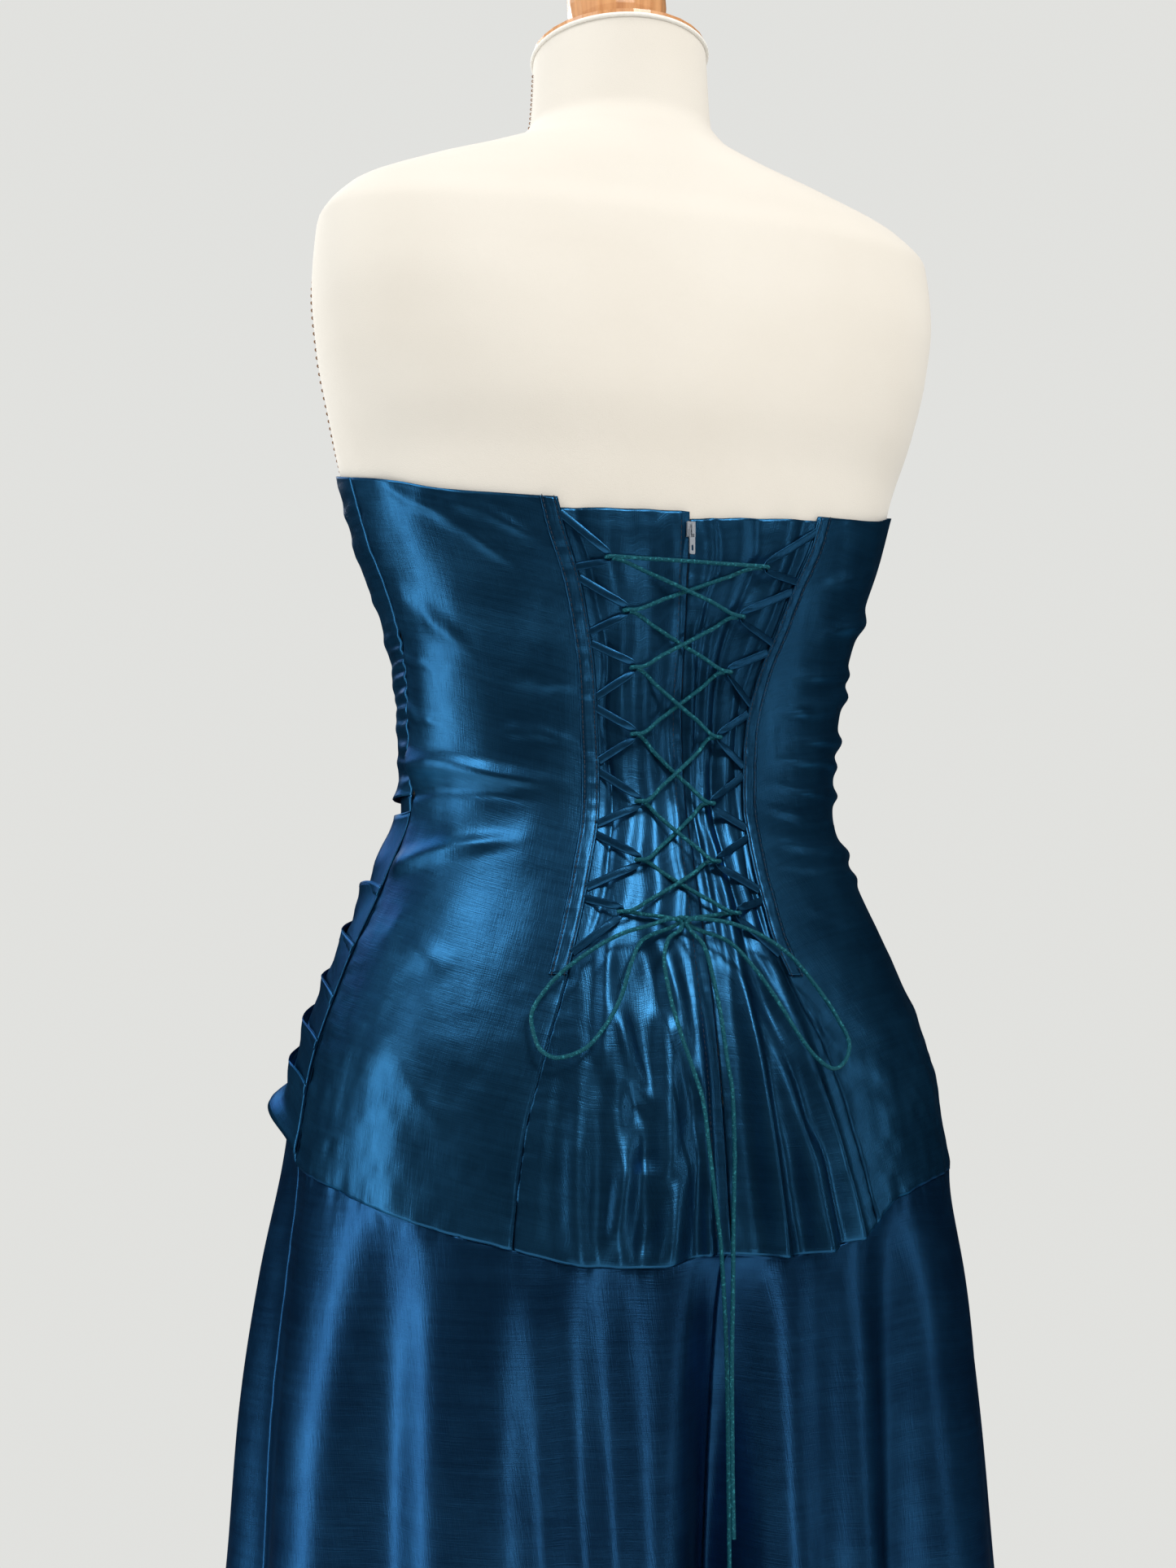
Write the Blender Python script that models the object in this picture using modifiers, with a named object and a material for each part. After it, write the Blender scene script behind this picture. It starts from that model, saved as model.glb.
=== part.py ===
"""Strapless corset dress, laced at the back and worn by a limbless dress form on a pole stand.

Metres, +Z up. The front faces -Y, the back +Y, and the wearer's left is +X. The origin is the centre of the
stand's flat underside. Angles go round the body in degrees: 0 is the centre back, 90 the wearer's left side,
180 the centre front and 270 (or -90) the wearer's right side.
"""

from collections import namedtuple

import bmesh
import bpy
import numpy as np
from mathutils import Matrix

# Driving dimensions
WALL = 0.0012
FORM_GAP = 0.0010
FORM_GAP_BELOW = 0.0026
SEAM_ANGLE = 0.16
TOUCH = 0.0003
HIP_SEAM_GAP = 0.0006
JOG_GAP = 0.0026
HEM_Z = 0.030
FORM_BOTTOM_Z = 0.884
NECK_Z = 1.555
NECK_LEAN = 8.0
LEAN_START_Z = 1.490
CAP_THICK = 0.0045
SIDE_SEAM = 87.0
WAIST_SEAM_Z = 1.068
BASE_RADIUS = 0.190
BASE_HEIGHT = 0.022
POLE_RADIUS = 0.014
ZIP_BOTTOM_Z = 0.930
ZIP_HALF_GAP = 0.0010
LACE_RADIUS = 0.0012
LACE_SIDES = 2
LOOP_TOP_Z = 1.2240
LOOP_PITCH = 0.0372
LOOP_SPREAD = 0.0310
LOOP_WIDTH = 0.0046
LOOP_TIP_WIDTH = 0.0026
LOOP_THICK = 0.0008
LOOP_BEND = 0.0025
LOOP_LIFT = 0.0068
LOOP_ROOT_OUT = 0.0028
LACE_TURN = 0.0030
LACE_CROSS = 0.0016
STRIP_WIDTH = 0.0100
STRIP_BOTTOM_Z = 0.958

Section = namedtuple("Section", "z half_width back front centre squareness")
BODY = [
    Section(0.030, 0.292, 0.270, 0.262, 0.000, 2.2),
    Section(0.450, 0.255, 0.219, 0.208, -0.004, 2.3),
    Section(0.600, 0.234, 0.201, 0.187, -0.005, 2.4),
    Section(0.700, 0.226, 0.199, 0.173, -0.009, 2.4),
    Section(0.780, 0.214, 0.195, 0.161, -0.011, 2.5),
    Section(0.840, 0.202, 0.188, 0.150, -0.012, 2.5),
    Section(0.900, 0.193, 0.177, 0.139, -0.011, 2.5),
    Section(0.960, 0.173, 0.160, 0.126, -0.010, 2.4),
    Section(1.020, 0.147, 0.134, 0.112, -0.005, 2.3),
    Section(1.060, 0.134, 0.115, 0.104, 0.000, 2.3),
    Section(1.100, 0.137, 0.108, 0.098, 0.002, 2.3),
    Section(1.140, 0.141, 0.104, 0.107, 0.009, 2.3),
    Section(1.180, 0.151, 0.106, 0.114, 0.013, 2.3),
    Section(1.220, 0.166, 0.114, 0.118, 0.010, 2.3),
    Section(1.260, 0.178, 0.114, 0.116, 0.010, 2.3),
    Section(1.300, 0.190, 0.108, 0.102, 0.017, 2.4),
    Section(1.340, 0.199, 0.099, 0.090, 0.021, 2.6),
    Section(1.380, 0.203, 0.087, 0.080, 0.024, 2.8),
    Section(1.415, 0.201, 0.076, 0.070, 0.025, 2.8),
    Section(1.435, 0.186, 0.069, 0.064, 0.023, 2.6),
    Section(1.456, 0.143, 0.065, 0.061, 0.019, 2.3),
    Section(1.471, 0.102, 0.063, 0.059, 0.015, 2.1),
    Section(1.484, 0.072, 0.061, 0.058, 0.012, 2.0),
    Section(1.500, 0.0605, 0.0585, 0.0575, 0.009, 2.0),
    Section(NECK_Z, 0.0575, 0.0575, 0.0575, 0.008, 2.0),
]

# The bust is one soft swelling a side, on the form and in the front's cut
BUST_Z = 1.200
BUST_ANGLE = 32.0
BUST_HEIGHT = 0.026
BUST_SPREAD_Z = 0.046
BUST_SPREAD_ANGLE = 21.0

# Angle of the lacing edge, and of the seam that runs on from it to the hip, on either side of the centre back
LacingEdge = namedtuple("LacingEdge", "z left right")
LACING_EDGE = [
    LacingEdge(0.795, 35.0, 28.2),
    LacingEdge(0.825, 34.7, 27.4),
    LacingEdge(0.870, 33.8, 25.2),
    LacingEdge(0.915, 31.2, 22.2),
    LacingEdge(0.955, 28.5, 17.6),
    LacingEdge(0.985, 26.8, 15.4),
    LacingEdge(1.015, 25.6, 15.4),
    LacingEdge(1.045, 24.8, 16.8),
    LacingEdge(1.074, 25.1, 18.8),
    LacingEdge(1.105, 26.2, 21.2),
    LacingEdge(1.136, 28.1, 25.8),
    LacingEdge(1.165, 30.6, 31.3),
    LacingEdge(1.195, 33.2, 35.8),
    LacingEdge(1.232, 36.7, 40.4),
    LacingEdge(1.250, 38.4, 42.5),
]

HipSeam = namedtuple("HipSeam", "angle z")
HIP_SEAM = [
    HipSeam(-180.0, 0.8700),
    HipSeam(-130.0, 0.8600),
    HipSeam(-87.0, 0.8500),
    HipSeam(-46.0, 0.8400),
    HipSeam(-32.0, 0.8290),
    HipSeam(-25.0, 0.8120),
    HipSeam(-10.0, 0.8030),
    HipSeam(3.0, 0.8050),
    HipSeam(14.0, 0.7995),
    HipSeam(22.4, 0.8000),
    HipSeam(35.0, 0.8090),
    HipSeam(53.0, 0.8240),
    HipSeam(70.0, 0.8380),
    HipSeam(84.0, 0.8450),
    HipSeam(92.0, 0.8560),
    HipSeam(103.0, 0.8740),
    HipSeam(130.0, 0.8760),
    HipSeam(180.0, 0.8700),
]

# Height of the top edge at an angle from the centre back, the same on both sides
TopEdge = namedtuple("TopEdge", "angle z")
TOP_EDGE = [
    TopEdge(15.0, 1.2325),
    TopEdge(37.0, 1.2335),
    TopEdge(53.0, 1.2365),
    TopEdge(62.0, 1.2400),
    TopEdge(72.0, 1.2475),
    TopEdge(88.0, 1.2580),
    TopEdge(112.0, 1.2740),
    TopEdge(142.0, 1.2860),
    TopEdge(162.0, 1.2780),
    TopEdge(180.0, 1.2660),
]
CENTRE_TOP_LEFT = (1.2283, 1.2268)
CENTRE_TOP_RIGHT = (1.2240, 1.2310)
SLIDER_Z = 1.2175
SLIDER_OUT = 0.0006
PULL_LENGTH = 0.0150

# A soft ridge on a side back panel, from one (angle, z) to another, angles counted from the centre back
Crease = namedtuple("Crease", "angle z angle_end z_end height half_width")
CREASES_LEFT = [
    Crease(86.0, 1.088, 30.0, 1.066, 0.0032, 0.0090),
    Crease(80.0, 1.028, 42.0, 1.036, 0.0026, 0.0080),
    Crease(80.0, 1.178, 58.0, 1.142, 0.0018, 0.0120),
    Crease(62.0, 1.232, 44.0, 1.196, 0.0014, 0.0100),
]
CREASES_RIGHT = [
    Crease(84.0, 1.186, 46.0, 1.164, 0.0036, 0.0090),
    Crease(84.0, 1.138, 36.0, 1.122, 0.0030, 0.0085),
    Crease(84.0, 1.102, 32.0, 1.090, 0.0028, 0.0080),
    Crease(70.0, 1.064, 28.0, 1.072, 0.0026, 0.0080),
    Crease(84.0, 1.028, 22.0, 1.036, 0.0028, 0.0085),
]

# A gather of a centre back panel: a ridge that falls from the lacing's foot to the hip seam, angles signed
Gather = namedtuple("Gather", "angle angle_end height half_angle")
GATHERS_LEFT = [
    Gather(25.5, 25.0, 0.0050, 2.6),
    Gather(19.5, 19.0, 0.0062, 2.4),
    Gather(9.0, 11.5, 0.0100, 2.6),
    Gather(3.6, 4.4, 0.0065, 1.2),
]
GATHERS_RIGHT = [
    Gather(-5.6, -7.6, 0.0120, 2.0),
    Gather(-11.0, -16.0, 0.0095, 2.2),
    Gather(-14.0, -23.5, 0.0060, 1.6),
]
GATHER_TOP_Z = 0.990
TUCKS_IN_LACING = 3
TUCK_HEIGHT = 0.0011

# A fold of the skirt: a valley that runs from the hip seam to the hem
Valley = namedtuple("Valley", "angle angle_end depth half_angle")
VALLEYS = [
    Valley(-148.0, -150.0, 0.034, 9.0),
    Valley(-118.0, -120.0, 0.030, 8.5),
    Valley(-87.0, -87.0, 0.026, 8.0),
    Valley(-61.0, -64.0, 0.024, 7.5),
    Valley(-28.0, -36.0, 0.040, 5.5),
    Valley(-15.0, -17.0, 0.016, 4.0),
    Valley(0.6, 2.6, 0.105, 6.4),
    Valley(22.5, 18.0, 0.018, 3.6),
    Valley(33.0, 27.0, 0.022, 3.8),
    Valley(54.0, 57.0, 0.040, 7.0),
    Valley(87.0, 87.0, 0.026, 8.0),
    Valley(118.0, 120.0, 0.030, 8.5),
    Valley(148.0, 150.0, 0.034, 9.0),
    Valley(180.0, 180.0, 0.032, 9.0),
]
FOLD_GROWTH = 0.55

# The draped front: pleats whose folded edges point up, closer together on the wearer's right
PLEATS = 6
DRAPE_TOP_LEFT_Z = 1.058
DRAPE_TOP_RIGHT_Z = 1.060
DRAPE_FOOT_LEFT_Z = 0.853
DRAPE_FOOT_RIGHT_Z = 0.946
DRAPE_RISE = 0.046
DRAPE_RISE_ANGLE = 34.0
PLEAT_ROOT = 0.0024
PLEAT_LIP = 0.0058
DRAPE_CURL = 0.012

# The gathered front bodice
RUCHES = 8
RUCHE_HEIGHT = 0.0042
RUCHE_SLOPE = 0.030
BODICE_FOOT_FLARE = 0.0045

# Where each loop is drawn in to, as an angle from the centre back, and how high
Lacing = namedtuple("Lacing", "z left right")
LACING = [
    Lacing(1.1980, 24.6, 23.2),
    Lacing(1.1680, 20.0, 17.0),
    Lacing(1.1355, 17.2, 14.0),
    Lacing(1.0970, 16.1, 10.6),
    Lacing(1.0575, 14.8, 6.8),
    Lacing(1.0230, 15.0, 5.2),
    Lacing(0.9930, 18.8, 7.6),
]

# The lace's free stretches, each a route chosen point by point: angle, z, distance out from the body
Route = namedtuple("Route", "angle z out")
KNOT = Route(5.8, 0.9880, 0.0105)
KNOT_HALF_SIZE = (0.0048, 0.0036, 0.0038)
KNOT_LEAD = 0.0024

# Directions in which cords leave the knot on the wearer's left: the right ones are their mirror images
EXIT_WOVEN = (0.85, -0.47, 0.21)
EXIT_BOW = (0.93, 0.33, 0.14)
EXIT_BOW_BACK = (0.85, -0.15, -0.50)
EXIT_END = (0.42, 0.50, -0.76)

BOW_LEFT = [
    Route(13.0, 0.9850, 0.0145),
    Route(18.0, 0.9806, 0.0130),
    Route(26.2, 0.9659, 0.0105),
    Route(31.4, 0.9500, 0.0085),
    Route(33.6, 0.9330, 0.0080),
    Route(31.9, 0.9175, 0.0090),
    Route(28.9, 0.9118, 0.0105),
    Route(24.7, 0.9162, 0.0125),
    Route(21.3, 0.9286, 0.0125),
    Route(18.4, 0.9460, 0.0125),
    Route(16.7, 0.9632, 0.0120),
    Route(14.2, 0.9770, 0.0100),
]
BOW_RIGHT = [
    Route(-1.5, 0.9880, 0.0150),
    Route(-6.8, 0.9841, 0.0145),
    Route(-14.7, 0.9713, 0.0135),
    Route(-19.6, 0.9552, 0.0110),
    Route(-23.5, 0.9343, 0.0100),
    Route(-24.6, 0.9196, 0.0110),
    Route(-22.4, 0.9095, 0.0130),
    Route(-19.3, 0.9051, 0.0150),
    Route(-16.1, 0.9111, 0.0160),
    Route(-13.3, 0.9257, 0.0150),
    Route(-10.6, 0.9430, 0.0150),
    Route(-7.4, 0.9604, 0.0145),
    Route(-3.2, 0.9765, 0.0110),
]
END_LEFT = [
    Route(9.6, 0.9770, 0.0155),
    Route(10.6, 0.9633, 0.0150),
    Route(9.8, 0.9443, 0.0150),
    Route(8.6, 0.9272, 0.0155),
    Route(6.7, 0.9058, 0.0155),
    Route(5.2, 0.8876, 0.0150),
    Route(4.5, 0.8630, 0.0135),
    Route(3.9, 0.8420, 0.0120),
    Route(2.6, 0.8060, 0.0060),
    Route(1.6, 0.7400, -0.0020),
    Route(1.4, 0.6700, -0.0070),
    Route(1.2, 0.6050, -0.0120),
]
END_RIGHT = [
    Route(2.4, 0.9736, 0.0140),
    Route(1.1, 0.9562, 0.0120),
    Route(0.3, 0.9357, 0.0110),
    Route(-0.2, 0.9101, 0.0100),
    Route(-0.7, 0.8914, 0.0095),
    Route(-0.5, 0.8662, 0.0085),
    Route(0.5, 0.8226, 0.0080),
    Route(1.0, 0.7852, 0.0060),
    Route(1.6, 0.7405, 0.0050),
    Route(1.7, 0.6960, 0.0030),
    Route(1.5, 0.6560, 0.0000),
]

# Turned profiles down the outer side: radius, z
Turned = namedtuple("Turned", "radius z")
KNOB_PROFILE = [
    Turned(0.0000, 0.0760),
    Turned(0.0120, 0.0735),
    Turned(0.0215, 0.0660),
    Turned(0.0285, 0.0540),
    Turned(0.0318, 0.0400),
    Turned(0.0320, 0.0290),
    Turned(0.0306, 0.0180),
    Turned(0.0278, 0.0085),
    Turned(0.0286, 0.0060),
    Turned(0.0286, 0.0010),
    Turned(0.0270, 0.0000),
    Turned(0.0000, 0.0000),
]


def column(table, name):
    return np.array([getattr(row, name) for row in table], float)


def smooth(knots, values, at):
    """A curve through a table's column that never swings past its values."""
    at = np.clip(at, knots[0], knots[-1])
    step = np.diff(knots)
    rise = np.diff(values) / step
    before, after = rise[:-1], rise[1:]
    turning = before * after <= 0
    total = np.where(turning, 1.0, before + after)
    inner = np.where(turning, 0.0, 2 * before * after / total)
    slope = np.concatenate([rise[:1], inner, rise[-1:]])
    i = np.clip(np.searchsorted(knots, at) - 1, 0, len(knots) - 2)
    t = (at - knots[i]) / step[i]
    places = (1 + 2 * t) * (1 - t) ** 2 * values[i] + t ** 2 * (3 - 2 * t) * values[i + 1]
    return places + step[i] * t * (1 - t) * ((1 - t) * slope[i] - t * slope[i + 1])


def read(table, key, name, at):
    return smooth(column(table, key), column(table, name), np.asarray(at, float))


def around(angle):
    """The same angle between -180 and 180."""
    return (np.asarray(angle, float) + 180.0) % 360.0 - 180.0


def bump(distance, half_width):
    """A soft ridge's height: 1 on its line, 0.37 at half_width."""
    return np.exp(-((distance / half_width) ** 2))


def bust(angle, z):
    from_line = np.abs(np.abs(around(angle)) - (180.0 - BUST_ANGLE))
    return BUST_HEIGHT * bump(from_line, BUST_SPREAD_ANGLE) * bump(z - BUST_Z, BUST_SPREAD_Z)


def on_body(angle, z, out=0.0):
    """Points on the body's section curves, moved out along the radius; angle, z and out share a shape."""
    angle, z, out = np.broadcast_arrays(np.asarray(angle, float), np.asarray(z, float), np.asarray(out, float))
    half_width, back, front, centre, squareness = (read(BODY, "z", name, z) for name in Section._fields[1:])
    side, rear = np.sin(np.radians(angle)), np.cos(np.radians(angle))
    depth = np.where(rear > 0, back, front)
    power = np.abs(side / half_width) ** squareness + np.abs(rear / depth) ** squareness
    radius = power ** (-1.0 / squareness) + bust(angle, z) + out
    return np.stack([radius * side, radius * rear + centre, z], axis=-1)


def material(name, colour, roughness, metallic=0.0):
    made = bpy.data.materials.new(name)
    made.use_nodes = True
    shader = made.node_tree.nodes["Principled BSDF"]
    shader.inputs["Base Color"].default_value = (*colour, 1.0)
    shader.inputs["Roughness"].default_value = roughness
    shader.inputs["Metallic"].default_value = metallic
    return made


def add_object(name, data, look):
    made = bpy.data.objects.new(name, data)
    made.data.materials.append(look)
    PARTS.objects.link(made)
    return made


def grid_mesh(name, points):
    """A mesh of quads on rows of points. Rows go up and columns go to greater angles, so faces point out."""
    rows, columns = points.shape[:2]
    index = np.arange(rows * columns).reshape(rows, columns)
    faces = np.stack([index[:-1, :-1], index[1:, :-1], index[1:, 1:], index[:-1, 1:]], axis=-1)
    mesh = bpy.data.meshes.new(name)
    mesh.from_pydata(points.reshape(-1, 3).tolist(), [], faces.reshape(-1, 4).tolist())
    mesh.shade_smooth()
    return mesh


def cloth(name, points, look, thickness=WALL, offset=-1.0):
    """A wall of cloth: its outer surface is a grid of points, and its thickness goes towards the body."""
    made = add_object(name, grid_mesh(name, points), look)
    wall = made.modifiers.new("wall", "SOLIDIFY")
    wall.thickness = thickness
    wall.offset = offset
    return made


def panel(z_bottom, z_top, edge_start, edge_end, rows, columns):
    """(angle, z, share across) of a panel's grid: its edges are functions of z, its ends functions of angle."""
    share_up = np.linspace(0.0, 1.0, rows)[:, None]
    across = np.linspace(0.0, 1.0, columns)[None, :]
    z = np.broadcast_to(0.8 + 0.45 * share_up, (rows, columns))
    for _ in range(4):
        angle = edge_start(z) * (1 - across) + edge_end(z) * across
        z = z_bottom(angle) * (1 - share_up) + z_top(angle) * share_up
    return angle, z, np.broadcast_to(across, angle.shape)


def hip_seam(angle):
    return read(HIP_SEAM, "angle", "z", around(angle))


def top_edge(angle):
    return read(TOP_EDGE, "angle", "z", np.abs(around(angle)))


def lacing_edge(side, z):
    """Signed angle of the lacing edge: side is 1 on the wearer's left and -1 on the right."""
    return side * read(LACING_EDGE, "z", "left" if side > 0 else "right", z)


def crease_height(creases, angle, z):
    """Height of the drawn creases at an angle from the centre back and a height."""
    total = np.zeros(np.broadcast(angle, z).shape)
    for crease in creases:
        run = np.clip((angle - crease.angle) / (crease.angle_end - crease.angle), 0.0, 1.0)
        beyond = np.abs(angle - crease.angle - run * (crease.angle_end - crease.angle))
        line = crease.z + run * (crease.z_end - crease.z)
        fade = np.sin(np.pi * np.clip(0.15 + 0.85 * (1 - run), 0.0, 1.0) / 2)
        total += crease.height * fade * bump(z - line, crease.half_width) * bump(beyond, 6.0)
    return total


def side_back_out(side, angle, z):
    return crease_height(CREASES_LEFT if side > 0 else CREASES_RIGHT, np.abs(angle), z)


def side_back(side, look):
    """The plain panel from the lacing edge to the side seam."""
    inner = lambda z: lacing_edge(side, z) + side * SEAM_ANGLE
    outer = lambda z: side * (SIDE_SEAM - SEAM_ANGLE) + 0 * z
    edges = (inner, outer) if side > 0 else (outer, inner)
    angle, z, _ = panel(hip_seam, top_edge, *edges, rows=25, columns=8)
    name = "side_back_left" if side > 0 else "side_back_right"
    return cloth(name, on_body(angle, z, side_back_out(side, angle, z)), look)


def lacing_strip(side, look):
    """The topstitched strip along the lacing edge, laid on the side back panel."""
    z = np.linspace(STRIP_BOTTOM_Z, 1.232, 20)[:, None] * np.ones((1, 3))
    edge = lacing_edge(side, z) + side * SEAM_ANGLE
    radius = np.hypot(*np.moveaxis(on_body(edge, z), -1, 0)[:2])
    share = np.array([[0.0, 0.5, 1.0]]) if side > 0 else np.array([[1.0, 0.5, 0.0]])
    angle = edge + side * share * np.degrees(STRIP_WIDTH / radius)
    z = z + share * 0.0012 * (z > 1.22)
    out = side_back_out(side, angle, z) + WALL + 0.0008
    name = "lacing_strip_left" if side > 0 else "lacing_strip_right"
    return cloth(name, on_body(angle, z, out), look)


def gather_out(side, angle, z):
    """Height of a centre back panel's folds: small tucks behind the lacing, deep gathers below it."""
    fall = np.clip((GATHER_TOP_Z - z) / (GATHER_TOP_Z - 0.80), 0.0, 1.0)
    edge = np.abs(lacing_edge(side, z))
    across = np.clip(np.abs(angle) / edge, 0.0, 1.0)
    tucks = TUCK_HEIGHT * np.sin(np.pi * TUCKS_IN_LACING * across) ** 2
    total = tucks * (1 - np.clip(fall * 4, 0.0, 1.0))
    for gather in GATHERS_LEFT if side > 0 else GATHERS_RIGHT:
        line = gather.angle + (gather.angle_end - gather.angle) * fall
        total = total + gather.height * np.sin(np.pi * fall / 2) ** 1.2 * bump(angle - line, gather.half_angle)
    window = np.clip(across / 0.10, 0.0, 1.0) * np.clip((1 - across) / 0.10, 0.0, 1.0)
    return total * window


def centre_edge(side, z):
    """Angle of a centre back panel's free edge: the zip stands in the gap down to its end."""
    radius = read(BODY, "z", "back", z) + read(BODY, "z", "centre", z)
    gap = np.where(z > ZIP_BOTTOM_Z - 0.004, np.degrees(ZIP_HALF_GAP / radius), SEAM_ANGLE)
    return side * gap


def centre_back(side, look):
    """The gathered panel behind the lacing, which runs on down to the hip seam."""
    top_at = CENTRE_TOP_LEFT if side > 0 else CENTRE_TOP_RIGHT
    top = lambda angle: top_at[0] + (top_at[1] - top_at[0]) * np.clip(np.abs(angle) / 40.0, 0.0, 1.0)
    inner = lambda z: centre_edge(side, z)
    outer = lambda z: lacing_edge(side, z) - side * SEAM_ANGLE
    edges = (inner, outer) if side > 0 else (outer, inner)
    columns = 17 if side > 0 else 14
    angle, z, _ = panel(hip_seam, top, *edges, rows=18, columns=columns)
    name = "centre_back_left" if side > 0 else "centre_back_right"
    return cloth(name, on_body(angle, z, gather_out(side, angle, z)), look)


def waist_seam(angle):
    return WAIST_SEAM_Z + 0 * np.asarray(angle, float)


def front_edges():
    left = lambda z: SIDE_SEAM + SEAM_ANGLE + 0 * z
    right = lambda z: 360.0 - SIDE_SEAM - SEAM_ANGLE + 0 * z
    return left, right


def front_bodice(look):
    """The gathered front from the top edge to the waist: ruches that slope down to the wearer's left."""
    angle, z, across = panel(waist_seam, top_edge, *front_edges(), rows=25, columns=16)
    height = (z - waist_seam(angle)) / (top_edge(angle) - waist_seam(angle))
    phase = RUCHES * (height + RUCHE_SLOPE / 0.2 * (across - 0.5))
    near_seam = np.clip(np.minimum(across, 1 - across) / 0.16, 0.0, 1.0)
    waves = np.abs(np.sin(np.pi * phase)) * (0.75 + 0.25 * np.sin(2 * np.pi * across * 1.5)) * near_seam
    top_fade = np.clip((1 - height) / 0.08, 0.0, 1.0)
    flare = BODICE_FOOT_FLARE * bump(height, 0.05)
    out = 0.0014 + RUCHE_HEIGHT * waves * top_fade + flare
    return cloth("front_bodice", on_body(angle, z, out), look)


def front_hip(look):
    """The plain front between the waist and the hip seam, mostly under the drape."""
    top = lambda angle: waist_seam(angle) - TOUCH
    angle, z, _ = panel(hip_seam, top, *front_edges(), rows=9, columns=16)
    return cloth("front_hip", on_body(angle, z, 0.0008), look)


def drape_line(left_z, right_z, angle):
    """Height of a pleat's line, which climbs steeply from the left side seam and then runs level."""
    turn = np.asarray(angle, float) - SIDE_SEAM
    share = turn / (360.0 - 2 * SIDE_SEAM)
    climb = DRAPE_RISE * (1 - np.exp(-turn / DRAPE_RISE_ANGLE)) * (1 - share) ** 0.5
    return left_z + (right_z - left_z) * share + climb * (left_z < 1.0)


def front_drape(look):
    """The draped overlay: each pleat's upper fold stands off the cloth above, and the lowest edge curls out."""
    steps = np.array([0.0, 0.50, 0.90])
    heights = np.concatenate([(steps + pleat) / PLEATS for pleat in range(PLEATS)] + [[1.0]])
    across = np.linspace(0.0, 1.0, 15)[None, :]
    angle = SIDE_SEAM + 0.6 + (360.0 - 2 * SIDE_SEAM - 1.2) * across + 0 * heights[:, None]
    foot = drape_line(DRAPE_FOOT_LEFT_Z, DRAPE_FOOT_RIGHT_Z, angle)
    head = drape_line(DRAPE_TOP_LEFT_Z, DRAPE_TOP_RIGHT_Z, angle)
    z = foot + (head - foot) * heights[:, None]
    within = np.append(np.tile(steps / steps[-1], PLEATS), 0.0)[:, None]
    near_seam = np.clip(np.minimum(across, 1 - across) / 0.10, 0.0, 1.0)
    lip = (PLEAT_ROOT + (PLEAT_LIP - PLEAT_ROOT) * within) * (0.70 + 0.30 * near_seam)
    curl = DRAPE_CURL * (heights[:, None] == 0.0) * bump(angle - 106.0, 14.0)
    out = 0.0008 + WALL + lip * (0.65 + 0.35 * np.cos(np.radians(angle - 90.0)) ** 2) + curl
    return cloth("front_drape", on_body(angle, z, out), look)


def skirt_out(angle, z):
    """Depth of the skirt's folds, which grow from the hip seam to the hem."""
    top = hip_seam(angle)
    fall = np.clip((top - z) / (top - HEM_Z), 0.0, 1.0)
    total = np.zeros(np.broadcast(angle, z).shape)
    for valley in VALLEYS:
        line = valley.angle + (valley.angle_end - valley.angle) * fall ** 0.5
        total -= valley.depth * bump(around(angle - line), valley.half_angle)
    return total * fall ** FOLD_GROWTH


def skirt_panel(name, start, end, columns, look):
    step = lambda angle: bump(angle + 33.0, 8.0) + bump(angle - 98.0, 14.0)
    top = lambda angle: hip_seam(angle) - HIP_SEAM_GAP - JOG_GAP * step(angle)
    hem = lambda angle: HEM_Z + 0 * angle
    angle, z, _ = panel(hem, top, start, end, rows=10, columns=columns)
    share_up = (z - HEM_Z) / (top(angle) - HEM_Z)
    z = HEM_Z + (top(angle) - HEM_Z) * (1 - (1 - share_up) ** 1.35)
    return cloth(name, on_body(angle, z, skirt_out(angle, z)), look)


def centre_seam(z):
    """Angle of the skirt's centre back seam, which lies at the bottom of the deepest fold."""
    fall = np.clip((0.805 - z) / (0.805 - HEM_Z), 0.0, 1.0)
    fold = next(valley for valley in VALLEYS if valley.depth > 0.1)
    return fold.angle + (fold.angle_end - fold.angle) * fall ** 0.5


def skirt(look):
    """The flared skirt below the hip seam, in a front and two backs."""
    left_seam = lambda z: SIDE_SEAM + 0 * z
    skirt_panel("skirt_front", lambda z: left_seam(z) + SEAM_ANGLE, lambda z: 360.0 - left_seam(z) - SEAM_ANGLE,
                29, look)
    skirt_panel("skirt_back_left", lambda z: centre_seam(z) + SEAM_ANGLE, lambda z: left_seam(z) - SEAM_ANGLE,
                22, look)
    skirt_panel("skirt_back_right", lambda z: -left_seam(z) + SEAM_ANGLE, lambda z: centre_seam(z) - SEAM_ANGLE,
                22, look)


def tip_of(side, row):
    angle = side * (row.left if side > 0 else row.right)
    return on_body(angle, row.z, LOOP_LIFT)


def loop_axes(side, row):
    """(inward, outward) unit vectors at a loop's tip: towards the centre back, and away from the body."""
    angle = side * (row.left if side > 0 else row.right)
    along = on_body(angle - side * 1.0, row.z) - on_body(angle + side * 1.0, row.z)
    inward = along / np.linalg.norm(along)
    outward = np.cross([0.0, 0.0, 1.0], inward) * -side
    return inward, outward


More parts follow.
